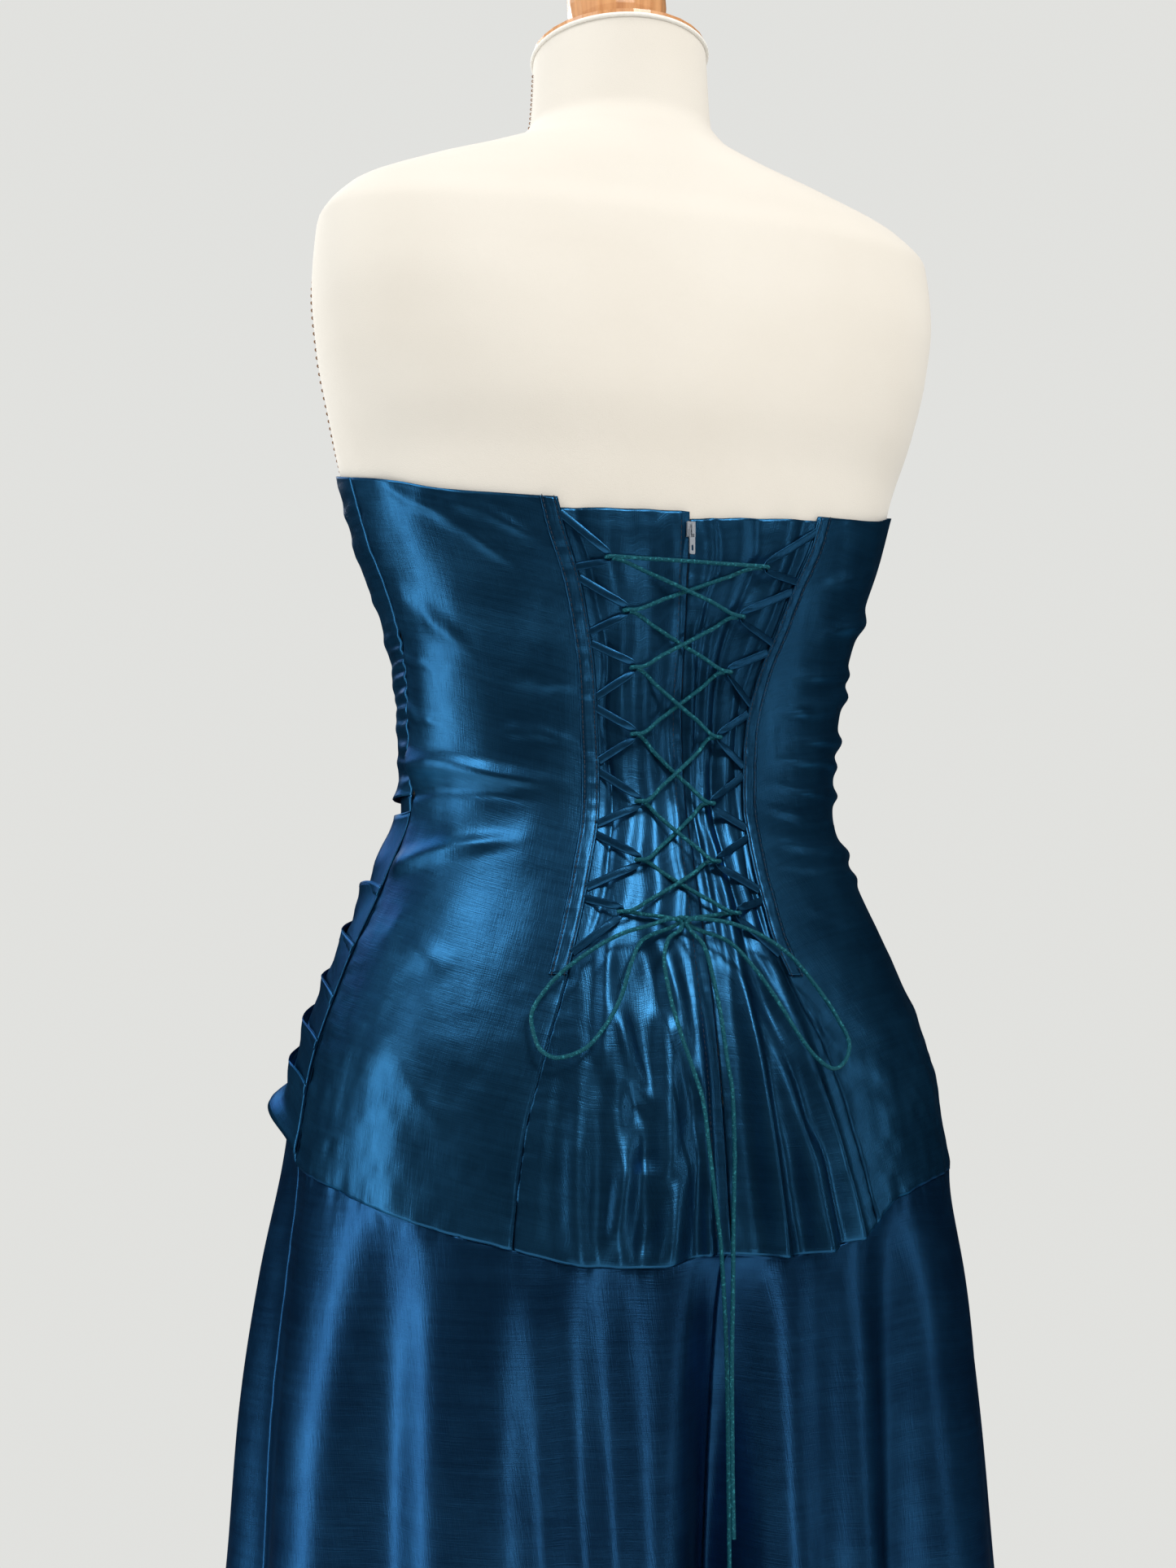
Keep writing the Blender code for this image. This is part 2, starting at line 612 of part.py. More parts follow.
def lacing_loop(side, number, row, look):
    """A flat tube that leaves the lacing edge, turns on edge round the lace and comes back."""
    root_z = LOOP_TOP_Z - LOOP_PITCH * number
    roots = []
    for z in (root_z, root_z - LOOP_SPREAD):
        edge = lacing_edge(side, np.array(z))
        roots.append(on_body(edge - side * 0.35, z, LOOP_ROOT_OUT))
    inward, outward = loop_axes(side, row)
    up = np.array([0.0, 0.0, 1.0])
    hole = tip_of(side, row)
    bend = [hole + LOOP_BEND * (np.cos(a) * inward + np.sin(a) * up) for a in np.radians([70, 35, 0, -35, -70])]
    legs = [root + (end - root) * 0.6 for root, end in ((roots[0], bend[0]), (roots[1], bend[-1]))]
    path = np.array([roots[0], legs[0], *bend, legs[1], roots[1]])
    flat = np.radians([90, 85, 28, 10, 0, -10, -28, -85, -90])[:, None]
    across = np.sin(flat) * up + np.cos(flat) * outward
    half = (LOOP_TIP_WIDTH + (LOOP_WIDTH - LOOP_TIP_WIDTH) * np.sin(flat) ** 2) / 2
    points = np.stack([path - half * across, path + half * across], axis=1)
    name = f"loop_{'left' if side > 0 else 'right'}_{number + 1}"
    return cloth(name, points, look, LOOP_THICK, 0.0)


def turn_at(side, row):
    """The lace's points as it comes over a loop's tip, drops through it and leaves underneath."""
    inward, outward = loop_axes(side, row)
    tip = tip_of(side, row) + LOOP_BEND * inward
    swing = np.radians([78, 128, 180, 232, 282])
    return [tip + LACE_TURN * (np.cos(a) * inward + np.sin(a) * outward) for a in swing]


def strand(start, end, raised):
    """The lace's points between two loops: it lies over the panel and then climbs to the next loop."""
    angle_start, z_start, angle_end, z_end = (*start, *end)
    points = []
    for share in (0.25, 0.5, 0.75):
        out = LOOP_LIFT + LACE_TURN * (2 * share ** 2 - 1) + raised * np.sin(np.pi * share)
        angle = angle_start + (angle_end - angle_start) * share
        points.append(on_body(angle, z_start + (z_end - z_start) * share, out))
    return points


def knot_exit(direction, side):
    """Two points of a cord that meets the knot: the one that touches it, and one further out."""
    way = np.array(direction) * (side, 1.0, 1.0)
    way /= np.linalg.norm(way)
    touch = 1.0 / np.linalg.norm(way / KNOT_HALF_SIZE) + 2 * TOUCH
    centre = on_body(KNOT.angle, KNOT.z, KNOT.out)
    return centre + way * touch, centre + way * (touch + KNOT_LEAD)


def descent(side):
    """One half of the lace, from its first loop down through a loop on alternate sides to the knot."""
    points = []
    raised = LACE_CROSS * side
    before = None
    for row in LACING:
        place = (side * ((row.left if side > 0 else row.right) - 1.6), row.z)
        if before:
            points.extend(strand(before, place, raised))
        points.extend(turn_at(side, row))
        before = place
        side = -side
    touch, lead = knot_exit(EXIT_WOVEN, -side)
    points.append((points[-1] + lead) / 2)
    return points + [lead, touch]


def cord(name, points, look):
    """A round cord on a path of straight steps."""
    curve = bpy.data.curves.new(name, "CURVE")
    curve.dimensions = "3D"
    curve.bevel_depth = LACE_RADIUS
    curve.bevel_resolution = LACE_SIDES
    curve.use_fill_caps = True
    spline = curve.splines.new("POLY")
    spline.points.add(len(points) - 1)
    spline.points.foreach_set("co", np.column_stack([points, np.ones(len(points))]).ravel())
    return add_object(name, curve, look)


def route_points(route, count, side, leave, back=None):
    """count points, evenly spaced, on a smooth curve from the knot along a route, and back for a bow loop."""
    places = [*knot_exit(leave, side), *on_body(*(column(route, name) for name in Route._fields))]
    if back:
        places += knot_exit(back, side)[::-1]
    places = np.array(places)
    length = np.concatenate([[0.0], np.cumsum(np.linalg.norm(np.diff(places, axis=0), axis=1))])
    at = np.linspace(0.0, length[-1], count)
    return np.column_stack([smooth(length, places[:, k], at) for k in range(3)])


def lace(look):
    """The lace: woven through the loops, a knot, two bow loops and two free ends."""
    left, right = LACING[0].left - 1.6, 1.6 - LACING[0].right
    over = [on_body(left + (right - left) * share, LACING[0].z, 0.0070) for share in (0.25, 0.5, 0.75)]
    cord("lace_woven", np.array(descent(1)[::-1] + over + descent(-1)), look)
    knot_place = on_body(KNOT.angle, KNOT.z, KNOT.out)
    ball = bmesh.new()
    bmesh.ops.create_uvsphere(ball, u_segments=12, v_segments=8, radius=1.0)
    mesh = bpy.data.meshes.new("lace_knot")
    ball.to_mesh(mesh)
    ball.free()
    mesh.transform(Matrix.Diagonal((*KNOT_HALF_SIZE, 1.0)))
    mesh.shade_smooth()
    knot = add_object("lace_knot", mesh, look)
    knot.location = knot_place
    cord("lace_bow_left", route_points(BOW_LEFT, 21, 1, EXIT_BOW, EXIT_BOW_BACK), look)
    cord("lace_bow_right", route_points(BOW_RIGHT, 21, -1, EXIT_BOW, EXIT_BOW_BACK), look)
    cord("lace_end_left", route_points(END_LEFT, 20, 1, EXIT_END), look)
    cord("lace_end_right", route_points(END_RIGHT, 17, -1, EXIT_END), look)


def closed_rings(name, rings, look):
    """A solid through rings of points, closed flat at both ends."""
    levels, count = rings.shape[:2]
    index = np.arange(levels * count).reshape(levels, count)
    following = np.roll(index, -1, axis=1)
    faces = np.stack([index[:-1], index[1:], following[1:], following[:-1]], axis=-1).reshape(-1, 4).tolist()
    faces.append(index[0].tolist())
    faces.append(index[-1][::-1].tolist())
    mesh = bpy.data.meshes.new(name)
    mesh.from_pydata(rings.reshape(-1, 3).tolist(), [], faces)
    mesh.shade_smooth()
    mesh.set_sharp_from_angle(angle=np.radians(40))
    return add_object(name, mesh, look)


def leaned(points):
    """The same points with the neck's rim brought down towards the front."""
    share = np.clip((points[..., 2] - LEAN_START_Z) / (NECK_Z - LEAN_START_Z), 0.0, 1.0)
    ahead = BODY[-1].centre + BODY[-1].back - points[..., 1]
    points[..., 2] -= np.tan(np.radians(NECK_LEAN)) * ahead * share
    return points


def torso(look):
    """The form itself: the body's own sections, just inside the cloth, from the hips to the neck."""
    z = np.concatenate([np.linspace(FORM_BOTTOM_Z, 1.36, 22), column(BODY, "z")[-8:]])
    z, angle = np.meshgrid(z, np.arange(0.0, 360.0, 11.25), indexing="ij")
    gap = FORM_GAP + (FORM_GAP_BELOW - FORM_GAP) * np.clip((1.12 - z) / 0.04, 0.0, 1.0)
    return closed_rings("form_torso", leaned(on_body(angle, z, -(WALL + gap))), look)


def turned(name, profile, place, look, steps=24, lean=0.0):
    """A solid turned about an axis from a profile that runs down its outer side; lean tips it forwards."""
    mesh = bpy.data.meshes.new(name)
    places = [(radius, 0.0, z) for radius, z in profile]
    edges = [(i, i + 1) for i in range(len(places) - 1)]
    mesh.from_pydata(places, edges, [])
    made = add_object(name, mesh, look)
    made.location = place
    made.rotation_euler = (lean, 0.0, 0.0)
    screw = made.modifiers.new("turn", "SCREW")
    screw.steps = steps
    screw.render_steps = steps
    screw.use_merge_vertices = True
    screw.merge_threshold = 0.0001
    screw.use_smooth_shade = True
    return made


def stand(wood, metal):
    """The round base and pole below the torso, and the cap and knob on its neck."""
    foot = (0.0, 0.0, 0.0)
    turned("stand_base", [
        Turned(0.0, BASE_HEIGHT), Turned(BASE_RADIUS - 0.040, BASE_HEIGHT), Turned(BASE_RADIUS - 0.012, 0.016),
        Turned(BASE_RADIUS, 0.008), Turned(BASE_RADIUS, 0.0), Turned(0.0, 0.0)], foot, metal, steps=32)
    turned("stand_pole", [
        Turned(0.0, FORM_BOTTOM_Z - TOUCH), Turned(POLE_RADIUS, FORM_BOTTOM_Z - TOUCH),
        Turned(POLE_RADIUS, 0.060), Turned(POLE_RADIUS + 0.012, 0.040),
        Turned(POLE_RADIUS + 0.020, BASE_HEIGHT + TOUCH), Turned(0.0, BASE_HEIGHT + TOUCH)], foot, metal, steps=16)
    lean = np.radians(NECK_LEAN)
    rim = (0.0, BODY[-1].centre, NECK_Z - BODY[-1].back * np.tan(lean))
    turned("neck_cap", [
        Turned(0.0, CAP_THICK), Turned(0.0535, CAP_THICK), Turned(0.0560, CAP_THICK - 0.0015),
        Turned(0.0560, TOUCH), Turned(0.0, TOUCH)], rim, wood, steps=32, lean=lean)
    knob = [Turned(point.radius, point.z + CAP_THICK + TOUCH) for point in KNOB_PROFILE]
    turned("neck_knob", knob, rim, wood, steps=16, lean=lean)


def bar(name, centre, size, look):
    """A box about a centre."""
    box = bmesh.new()
    bmesh.ops.create_cube(box, size=1.0)
    mesh = bpy.data.meshes.new(name)
    box.to_mesh(mesh)
    box.free()
    mesh.transform(Matrix.Diagonal((*size, 1.0)))
    made = add_object(name, mesh, look)
    made.location = centre
    return made


def join(base, others):
    """Adds boxes to a base solid."""
    for other in others:
        PARTS.objects.unlink(other)
        CUTTERS.objects.link(other)
        other.hide_render = True
        other.display_type = "WIRE"
        joined = base.modifiers.new(other.name, "BOOLEAN")
        joined.operation = "UNION"
        joined.object = other


def zip_chain(look):
    """The zip's closed chain, in the gap between the centre back panels."""
    z = np.linspace(ZIP_BOTTOM_Z, CENTRE_TOP_RIGHT[0] - 0.001, 22)[:, None] * np.ones((1, 2))
    half = ZIP_HALF_GAP - 0.0004
    back = on_body(0.0, z, 0.0)
    back[..., 0] = np.array([[-half, half]])
    return cloth("zip_chain", back, look)


def rounded_box(half_width, low, high, corner):
    """Points of a rectangle with cut corners, about x = 0."""
    return [(-half_width + corner, low), (half_width - corner, low), (half_width, low + corner),
            (half_width, high - corner), (half_width - corner, high), (-half_width + corner, high),
            (-half_width, high - corner), (-half_width, low + corner)]


def flat_outline(name, outlines, thickness, look):
    """A flat plate from closed outlines: the first is its edge and the others are its holes."""
    curve = bpy.data.curves.new(name, "CURVE")
    curve.dimensions = "2D"
    curve.fill_mode = "BOTH"
    curve.extrude = thickness / 2
    for outline in outlines:
        spline = curve.splines.new("POLY")
        spline.points.add(len(outline) - 1)
        spline.points.foreach_set("co", [value for x, y in outline for value in (x, y, 0.0, 1.0)])
        spline.use_cyclic_u = True
    return add_object(name, curve, look)


def zip_slider(look):
    """The slider's body with the arch that carries the pull tab."""
    back_y = on_body(0.0, SLIDER_Z, SLIDER_OUT)[1]
    body = bar("zip_slider", (0.0, back_y + 0.0010, SLIDER_Z), (0.0050, 0.0020, 0.0090), look)
    arch_y = back_y + 0.0020
    legs = [bar(f"arch_leg_{sign}", (0.0, arch_y + 0.0010, SLIDER_Z + sign * 0.0026), (0.0012, 0.0028, 0.0009), look)
            for sign in (-1, 1)]
    crown = bar("arch_crown", (0.0, arch_y + 0.0023, SLIDER_Z), (0.0014, 0.0010, 0.0066), look)
    join(body, [*legs, crown])
    return body


def zip_pull_tab(look):
    """The tab, which hangs from the arch by its top bar and turns about it."""
    outline = rounded_box(0.0017, -PULL_LENGTH, 0.0005, 0.0005)
    window = rounded_box(0.0011, -0.0050, -0.0005, 0.0003)
    slot = rounded_box(0.0006, -PULL_LENGTH + 0.0020, -PULL_LENGTH + 0.0055, 0.0003)
    tab = flat_outline("zip_pull_tab", [outline, window, slot], 0.0009, look)
    tab.rotation_euler = (np.radians(90.0), 0.0, 0.0)
    tab.location = (0.0, on_body(0.0, SLIDER_Z, SLIDER_OUT)[1] + 0.0020 + 0.0009, SLIDER_Z)
    return tab


def main():
    taffeta = material("taffeta", (0.030, 0.105, 0.235), 0.36, 0.45)
    cord_look = material("lace", (0.060, 0.200, 0.240), 0.70)
    jersey = material("form_jersey", (0.800, 0.740, 0.660), 0.90)
    wood = material("varnished_wood", (0.430, 0.200, 0.080), 0.30)
    metal = material("stand_metal", (0.550, 0.550, 0.560), 0.35, 0.9)
    zip_metal = material("zip_metal", (0.450, 0.470, 0.520), 0.30, 0.9)
    torso(jersey)
    stand(wood, metal)
    for side in (1, -1):
        side_back(side, taffeta)
        centre_back(side, taffeta)
        lacing_strip(side, taffeta)
        for number, row in enumerate(LACING):
            lacing_loop(side, number, row, taffeta)
    front_bodice(taffeta)
    front_hip(taffeta)
    front_drape(taffeta)
    skirt(taffeta)
    zip_chain(zip_metal)
    zip_slider(zip_metal)
    zip_pull_tab(zip_metal)
    lace(cord_look)


def clear_scene():
    for old in list(bpy.data.objects):
        bpy.data.objects.remove(old, do_unlink=True)


clear_scene()
PARTS = bpy.data.collections.new("corset_dress_on_form")
CUTTERS = bpy.data.collections.new("cutters")
for group in (PARTS, CUTTERS):
    bpy.context.scene.collection.children.link(group)
main()
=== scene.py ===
from collections import namedtuple

import bpy
import numpy as np
from mathutils import Matrix, Vector


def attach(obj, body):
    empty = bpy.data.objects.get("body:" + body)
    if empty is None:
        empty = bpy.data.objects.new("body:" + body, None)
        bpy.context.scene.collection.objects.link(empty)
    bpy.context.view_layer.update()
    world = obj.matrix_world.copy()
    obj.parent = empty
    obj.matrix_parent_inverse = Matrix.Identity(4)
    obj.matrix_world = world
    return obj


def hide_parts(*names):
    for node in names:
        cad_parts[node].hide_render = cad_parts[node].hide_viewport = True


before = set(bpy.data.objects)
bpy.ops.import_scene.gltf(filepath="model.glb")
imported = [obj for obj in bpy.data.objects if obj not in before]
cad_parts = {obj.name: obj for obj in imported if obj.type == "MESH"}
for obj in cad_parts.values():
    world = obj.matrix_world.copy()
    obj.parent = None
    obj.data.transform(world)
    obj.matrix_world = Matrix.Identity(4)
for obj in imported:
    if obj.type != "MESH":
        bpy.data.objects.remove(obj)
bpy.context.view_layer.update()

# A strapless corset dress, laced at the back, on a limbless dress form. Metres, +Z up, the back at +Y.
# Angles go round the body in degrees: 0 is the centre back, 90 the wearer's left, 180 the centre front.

BODY_NAME = "dress"
LEFT, RIGHT = 1, -1
WORD = {LEFT: "left", RIGHT: "right"}


def table_of(kind, *values):
    return [kind(*row) for row in values]


# Sizes repeated from the part's source
HEM_Z = 0.030
SIDE_SEAM = 87.0
WAIST_SEAM_Z = 1.068
LOOP_TOP_Z = 1.2240
LOOP_PITCH = 0.0372
LOOP_SPREAD = 0.0310
LOOP_BEND = 0.0025
LOOP_LIFT = 0.0068
LOOP_ROOT_OUT = 0.0028
LACE_RADIUS = 0.0012
LACE_TURN, LACE_TURN_ANGLE = 0.0030, 1.6
LACE_CROSS = 0.0016
STRIP_WIDTH = 0.0100
STRIP_BOTTOM_Z, STRIP_TOP_Z = 0.958, 1.2325
CLOTH = 0.0007
SEAM_DIP, SEAM_DIP_WIDTH = 0.0007, 0.0018
CENTRE_SEAM_TOP_Z = 0.805

# Sizes of the finer pieces; the widths and the radius turn shares and angles into metres along a seam
SIDE_BACK_WIDTH, CENTRE_BACK_WIDTH, FRONT_WIDTH = 0.13, 0.07, 0.5
SEAM_RADIUS = 0.2
HEM_STITCH_RISE = 0.012
ZIP_FOOT_Z, ZIP_TOP_Z, COIL_PITCH, COIL_RADIUS = 0.930, 1.2230, 0.0011, 0.00022
COVER_DEPTH, COVER_TUCK = 0.0021, 0.0012
PIPING_RADIUS = 0.0014
KNOT_CORD_RADIUS = 0.00118
ROULEAU_SINK, ROULEAU_STEPS, ROULEAU_SIDES = 0.0012, 44, 10
ROULEAU_HALF_EDGE, ROULEAU_SPREAD, ROULEAU_HALF_THICK = 0.0013, 0.0011, 0.00045

Section = namedtuple("Section", "z half_width back front centre squareness")
BODY = table_of(Section,
    (0.030, 0.292, 0.270, 0.262, 0.000, 2.2),
    (0.450, 0.255, 0.219, 0.208, -0.004, 2.3),
    (0.600, 0.234, 0.201, 0.187, -0.005, 2.4),
    (0.700, 0.226, 0.199, 0.173, -0.009, 2.4),
    (0.780, 0.214, 0.195, 0.161, -0.011, 2.5),
    (0.840, 0.202, 0.188, 0.150, -0.012, 2.5),
    (0.900, 0.193, 0.177, 0.139, -0.011, 2.5),
    (0.960, 0.173, 0.160, 0.126, -0.010, 2.4),
    (1.020, 0.147, 0.134, 0.112, -0.005, 2.3),
    (1.060, 0.134, 0.115, 0.104, 0.000, 2.3),
    (1.100, 0.137, 0.108, 0.098, 0.002, 2.3),
    (1.140, 0.141, 0.104, 0.107, 0.009, 2.3),
    (1.180, 0.151, 0.106, 0.114, 0.013, 2.3),
    (1.220, 0.166, 0.114, 0.118, 0.010, 2.3),
    (1.260, 0.178, 0.114, 0.116, 0.010, 2.3),
    (1.300, 0.190, 0.108, 0.102, 0.017, 2.4),
    (1.340, 0.199, 0.099, 0.090, 0.021, 2.6),
    (1.380, 0.203, 0.087, 0.080, 0.024, 2.8),
    (1.415, 0.201, 0.076, 0.070, 0.025, 2.8),
    (1.435, 0.186, 0.069, 0.064, 0.023, 2.6),
    (1.456, 0.143, 0.065, 0.061, 0.019, 2.3),
    (1.471, 0.102, 0.063, 0.059, 0.015, 2.1),
    (1.484, 0.072, 0.061, 0.058, 0.012, 2.0),
    (1.500, 0.0605, 0.0585, 0.0575, 0.009, 2.0),
    (1.555, 0.0575, 0.0575, 0.0575, 0.008, 2.0)
)
NECK_Z, NECK_LEAN, LEAN_START_Z = 1.555, 8.0, 1.490
BUST_Z, BUST_ANGLE, BUST_HEIGHT, BUST_SPREAD_Z, BUST_SPREAD_ANGLE = 1.200, 32.0, 0.026, 0.046, 21.0

LacingEdge = namedtuple("LacingEdge", "z left right")
LACING_EDGE = table_of(LacingEdge,
    (0.795, 35.0, 28.2), (0.825, 34.7, 27.4), (0.870, 33.8, 25.2), (0.915, 31.2, 22.2),
    (0.955, 28.5, 17.6), (0.985, 26.8, 15.4), (1.015, 25.6, 15.4), (1.045, 24.8, 16.8),
    (1.074, 25.1, 18.8), (1.105, 26.2, 21.2), (1.136, 28.1, 25.8), (1.165, 30.6, 31.3),
    (1.195, 33.2, 35.8), (1.232, 36.7, 40.4), (1.250, 38.4, 42.5)
)

HipSeam = namedtuple("HipSeam", "angle z")
HIP_SEAM = table_of(HipSeam,
    (-180.0, 0.8700), (-130.0, 0.8600), (-87.0, 0.8500), (-46.0, 0.8400), (-32.0, 0.8290),
    (-25.0, 0.8120), (-10.0, 0.8030), (3.0, 0.8050), (14.0, 0.7995), (22.4, 0.8000), (35.0, 0.8090),
    (53.0, 0.8240), (70.0, 0.8380), (84.0, 0.8450), (92.0, 0.8560), (103.0, 0.8740),
    (130.0, 0.8760), (180.0, 0.8700)
)

TopEdge = namedtuple("TopEdge", "angle z")
TOP_EDGE = table_of(TopEdge,
    (15.0, 1.2325), (37.0, 1.2335), (53.0, 1.2365), (62.0, 1.2400), (72.0, 1.2475), (88.0, 1.2580),
    (112.0, 1.2740), (142.0, 1.2860), (162.0, 1.2780), (180.0, 1.2660)
)
CENTRE_TOP = {LEFT: (1.2283, 1.2268), RIGHT: (1.2240, 1.2310)}

# A soft ridge from one place to another, angles counted from the centre back: negative heights are troughs
Crease = namedtuple("Crease", "angle z angle_end z_end height half_width")
CREASES = {
    LEFT: table_of(Crease,
        (87.0, 1.088, 30.0, 1.066, 0.0034, 0.0075),
        (87.0, 1.071, 36.0, 1.057, -0.0012, 0.0040),
        (80.0, 1.028, 38.0, 1.036, 0.0024, 0.0070),
        (80.0, 1.178, 58.0, 1.142, 0.0014, 0.0100),
        (66.0, 1.236, 46.0, 1.190, 0.0012, 0.0070),
        (58.0, 1.232, 40.0, 1.205, 0.0010, 0.0055),
        (74.0, 1.243, 60.0, 1.222, 0.0010, 0.0050),
        (87.0, 1.118, 66.0, 1.104, 0.0012, 0.0045),
        (87.0, 1.150, 72.0, 1.138, 0.0009, 0.0040),
        (48.0, 1.100, 30.0, 1.092, 0.0010, 0.0050),
        (46.0, 1.128, 32.0, 1.124, 0.0007, 0.0045),
        (70.0, 0.985, 48.0, 0.960, 0.0011, 0.0120),
        (60.0, 0.915, 44.0, 0.868, 0.0013, 0.0140)
    ),
    RIGHT: table_of(Crease,
        (84.0, 1.186, 46.0, 1.164, 0.0040, 0.0075),
        (84.0, 1.150, 34.0, 1.137, 0.0020, 0.0045),
        (84.0, 1.138, 40.0, 1.121, 0.0030, 0.0060),
        (60.0, 1.122, 30.0, 1.113, 0.0016, 0.0036),
        (84.0, 1.106, 32.0, 1.099, 0.0028, 0.0052),
        (66.0, 1.090, 27.0, 1.086, 0.0024, 0.0042),
        (74.0, 1.072, 24.0, 1.071, 0.0026, 0.0046),
        (56.0, 1.052, 22.0, 1.057, 0.0016, 0.0042),
        (84.0, 1.034, 19.0, 1.036, 0.0030, 0.0058),
        (70.0, 1.018, 18.0, 1.025, 0.0018, 0.0040),
        (64.0, 1.206, 44.0, 1.196, 0.0014, 0.0060),
        (52.0, 0.985, 20.0, 1.002, 0.0012, 0.0070),
        (66.0, 0.940, 40.0, 0.925, 0.0010, 0.0120),
        (56.0, 0.898, 36.0, 0.880, 0.0010, 0.0100)
    ),
}

# A gather of a centre back panel: a ridge that falls from the lacing's foot to the hip seam, angles signed
Gather = namedtuple("Gather", "angle angle_end height half_angle")
GATHERS = {
    LEFT: table_of(Gather,
        (25.5, 25.0, 0.0050, 2.6),
        (19.0, 18.5, 0.0078, 2.8),
        (9.0, 11.5, 0.0125, 2.9),
        (3.6, 4.4, 0.0065, 1.2)
    ),
    RIGHT: table_of(Gather,
        (-5.6, -7.6, 0.0120, 2.0),
        (-11.0, -16.0, 0.0105, 2.3),
        (-14.0, -23.5, 0.0060, 1.6)
    ),
}
GATHER_TOP_Z = 0.990
FOLD_SHARE, FOLD_SPREAD, CREASE_SHARE = 0.75, 1.40, 1.5

# Finer folds on the centre back panels: height fades in and out along each one
Fold = namedtuple("Fold", "angle z angle_end z_end height half_angle")
FOLDS = {
    LEFT: table_of(Fold,
        (20.8, 0.988, 21.7, 0.900, 0.0048, 1.3),
        (19.8, 0.948, 13.6, 0.880, 0.0046, 1.2),
        (8.8, 0.978, 4.6, 0.885, 0.0050, 1.3),
        (5.0, 0.884, 11.3, 0.798, 0.0048, 1.4),
        (13.9, 0.896, 20.8, 0.804, 0.0050, 1.4),
        (25.8, 0.890, 24.6, 0.798, 0.0030, 1.6),
        (16.8, 0.900, 14.8, 0.850, -0.0040, 1.8),
        (30.2, 0.915, 31.6, 0.806, 0.0014, 1.0),
        (9.0, 0.862, 15.4, 0.806, -0.0026, 1.2),
        (14.6, 0.985, 10.0, 0.930, -0.0030, 1.6)
    ),
    RIGHT: table_of(Fold,
        (-5.8, 0.990, -7.3, 0.798, 0.0050, 1.1),
        (-12.0, 0.988, -23.3, 0.808, 0.0052, 1.1),
        (-9.3, 0.972, -16.6, 0.858, -0.0060, 1.2),
        (-15.8, 0.880, -18.6, 0.798, 0.0034, 0.8),
        (-11.8, 0.880, -13.4, 0.798, -0.0036, 1.3),
        (-19.8, 0.868, -20.4, 0.798, -0.0022, 1.0)
    ),
}

# Upright folds behind the lacing, at shares of the way from the zip to the lacing edge
Upright = namedtuple("Upright", "share height half_share")
UPRIGHTS = {
    LEFT: [Upright(0.13, 0.0012, 0.05), Upright(0.40, 0.0030, 0.12), Upright(0.70, 0.0026, 0.10),
           Upright(0.90, -0.0022, 0.05)],
    RIGHT: [Upright(0.14, 0.0022, 0.06), Upright(0.38, 0.0030, 0.09), Upright(0.56, -0.0020, 0.06),
            Upright(0.76, 0.0028, 0.10), Upright(0.93, -0.0016, 0.05)],
}

Valley = namedtuple("Valley", "angle angle_end depth half_angle")
VALLEYS = table_of(Valley,
    (-148.0, -150.0, 0.034, 9.0), (-118.0, -120.0, 0.030, 8.5), (-87.0, -87.0, 0.026, 8.0),
    (-61.0, -64.0, 0.024, 7.5), (-28.0, -36.0, 0.040, 5.5), (-15.0, -17.0, 0.016, 4.0),
    (0.6, 2.6, 0.105, 6.4), (22.5, 18.0, 0.018, 3.6), (33.0, 27.0, 0.022, 3.8),
    (54.0, 57.0, 0.040, 7.0), (87.0, 87.0, 0.026, 8.0), (118.0, 120.0, 0.030, 8.5),
    (148.0, 150.0, 0.034, 9.0), (180.0, 180.0, 0.032, 9.0)
)
FOLD_GROWTH = 0.55

DRAPE_TOP_LEFT_Z, DRAPE_TOP_RIGHT_Z = 1.058, 1.060
DRAPE_FOOT_LEFT_Z, DRAPE_FOOT_RIGHT_Z = 0.853, 0.946
DRAPE_RISE, DRAPE_RISE_ANGLE = 0.046, 34.0
PLEAT_LEVELS = (0.0, 0.17, 0.30, 0.43, 0.58, 0.75, 1.0)
PLEAT_ROOT, PLEAT_LIP = 0.0018, 0.0062
PLEAT_FOLD_AT, PLEAT_RETURN = 0.72, 0.030
DRAPE_CURL = 0.012
RUCHES, RUCHE_HEIGHT, RUCHE_SLOPE = 8, 0.0042, 0.030
BODICE_FOOT_FLARE = 0.0045

Lacing = namedtuple("Lacing", "z left right")
LACING = table_of(Lacing,
    (1.1980, 24.6, 23.2), (1.1680, 20.0, 17.0), (1.1355, 17.2, 14.0), (1.0970, 16.1, 10.6),
    (1.0575, 14.8, 6.8), (1.0230, 15.0, 5.2), (0.9930, 18.8, 7.6)
)

Route = namedtuple("Route", "angle z out")
KNOT = Route(5.8, 0.9880, 0.0105)
KNOT_HALF_SIZE = (0.0048, 0.0036, 0.0038)
KNOT_LEAD = 0.0024
KNOT_SCALE = (0.00118, 0.00100, 0.00088)
EXIT_WOVEN = (0.85, -0.47, 0.21)
EXIT_BOW = (0.93, 0.33, 0.14)
EXIT_BOW_BACK = (0.85, -0.15, -0.50)
EXIT_END = (0.42, 0.50, -0.76)
BOW_LEFT = table_of(Route,
    (13.0, 0.9850, 0.0145), (18.0, 0.9806, 0.0130), (26.2, 0.9659, 0.0105), (31.4, 0.9500, 0.0085),
    (33.6, 0.9330, 0.0080), (31.9, 0.9175, 0.0090), (28.9, 0.9118, 0.0105), (24.7, 0.9162, 0.0125),
    (21.3, 0.9286, 0.0125), (18.4, 0.9460, 0.0125), (16.7, 0.9632, 0.0120), (14.2, 0.9770, 0.0100)
)
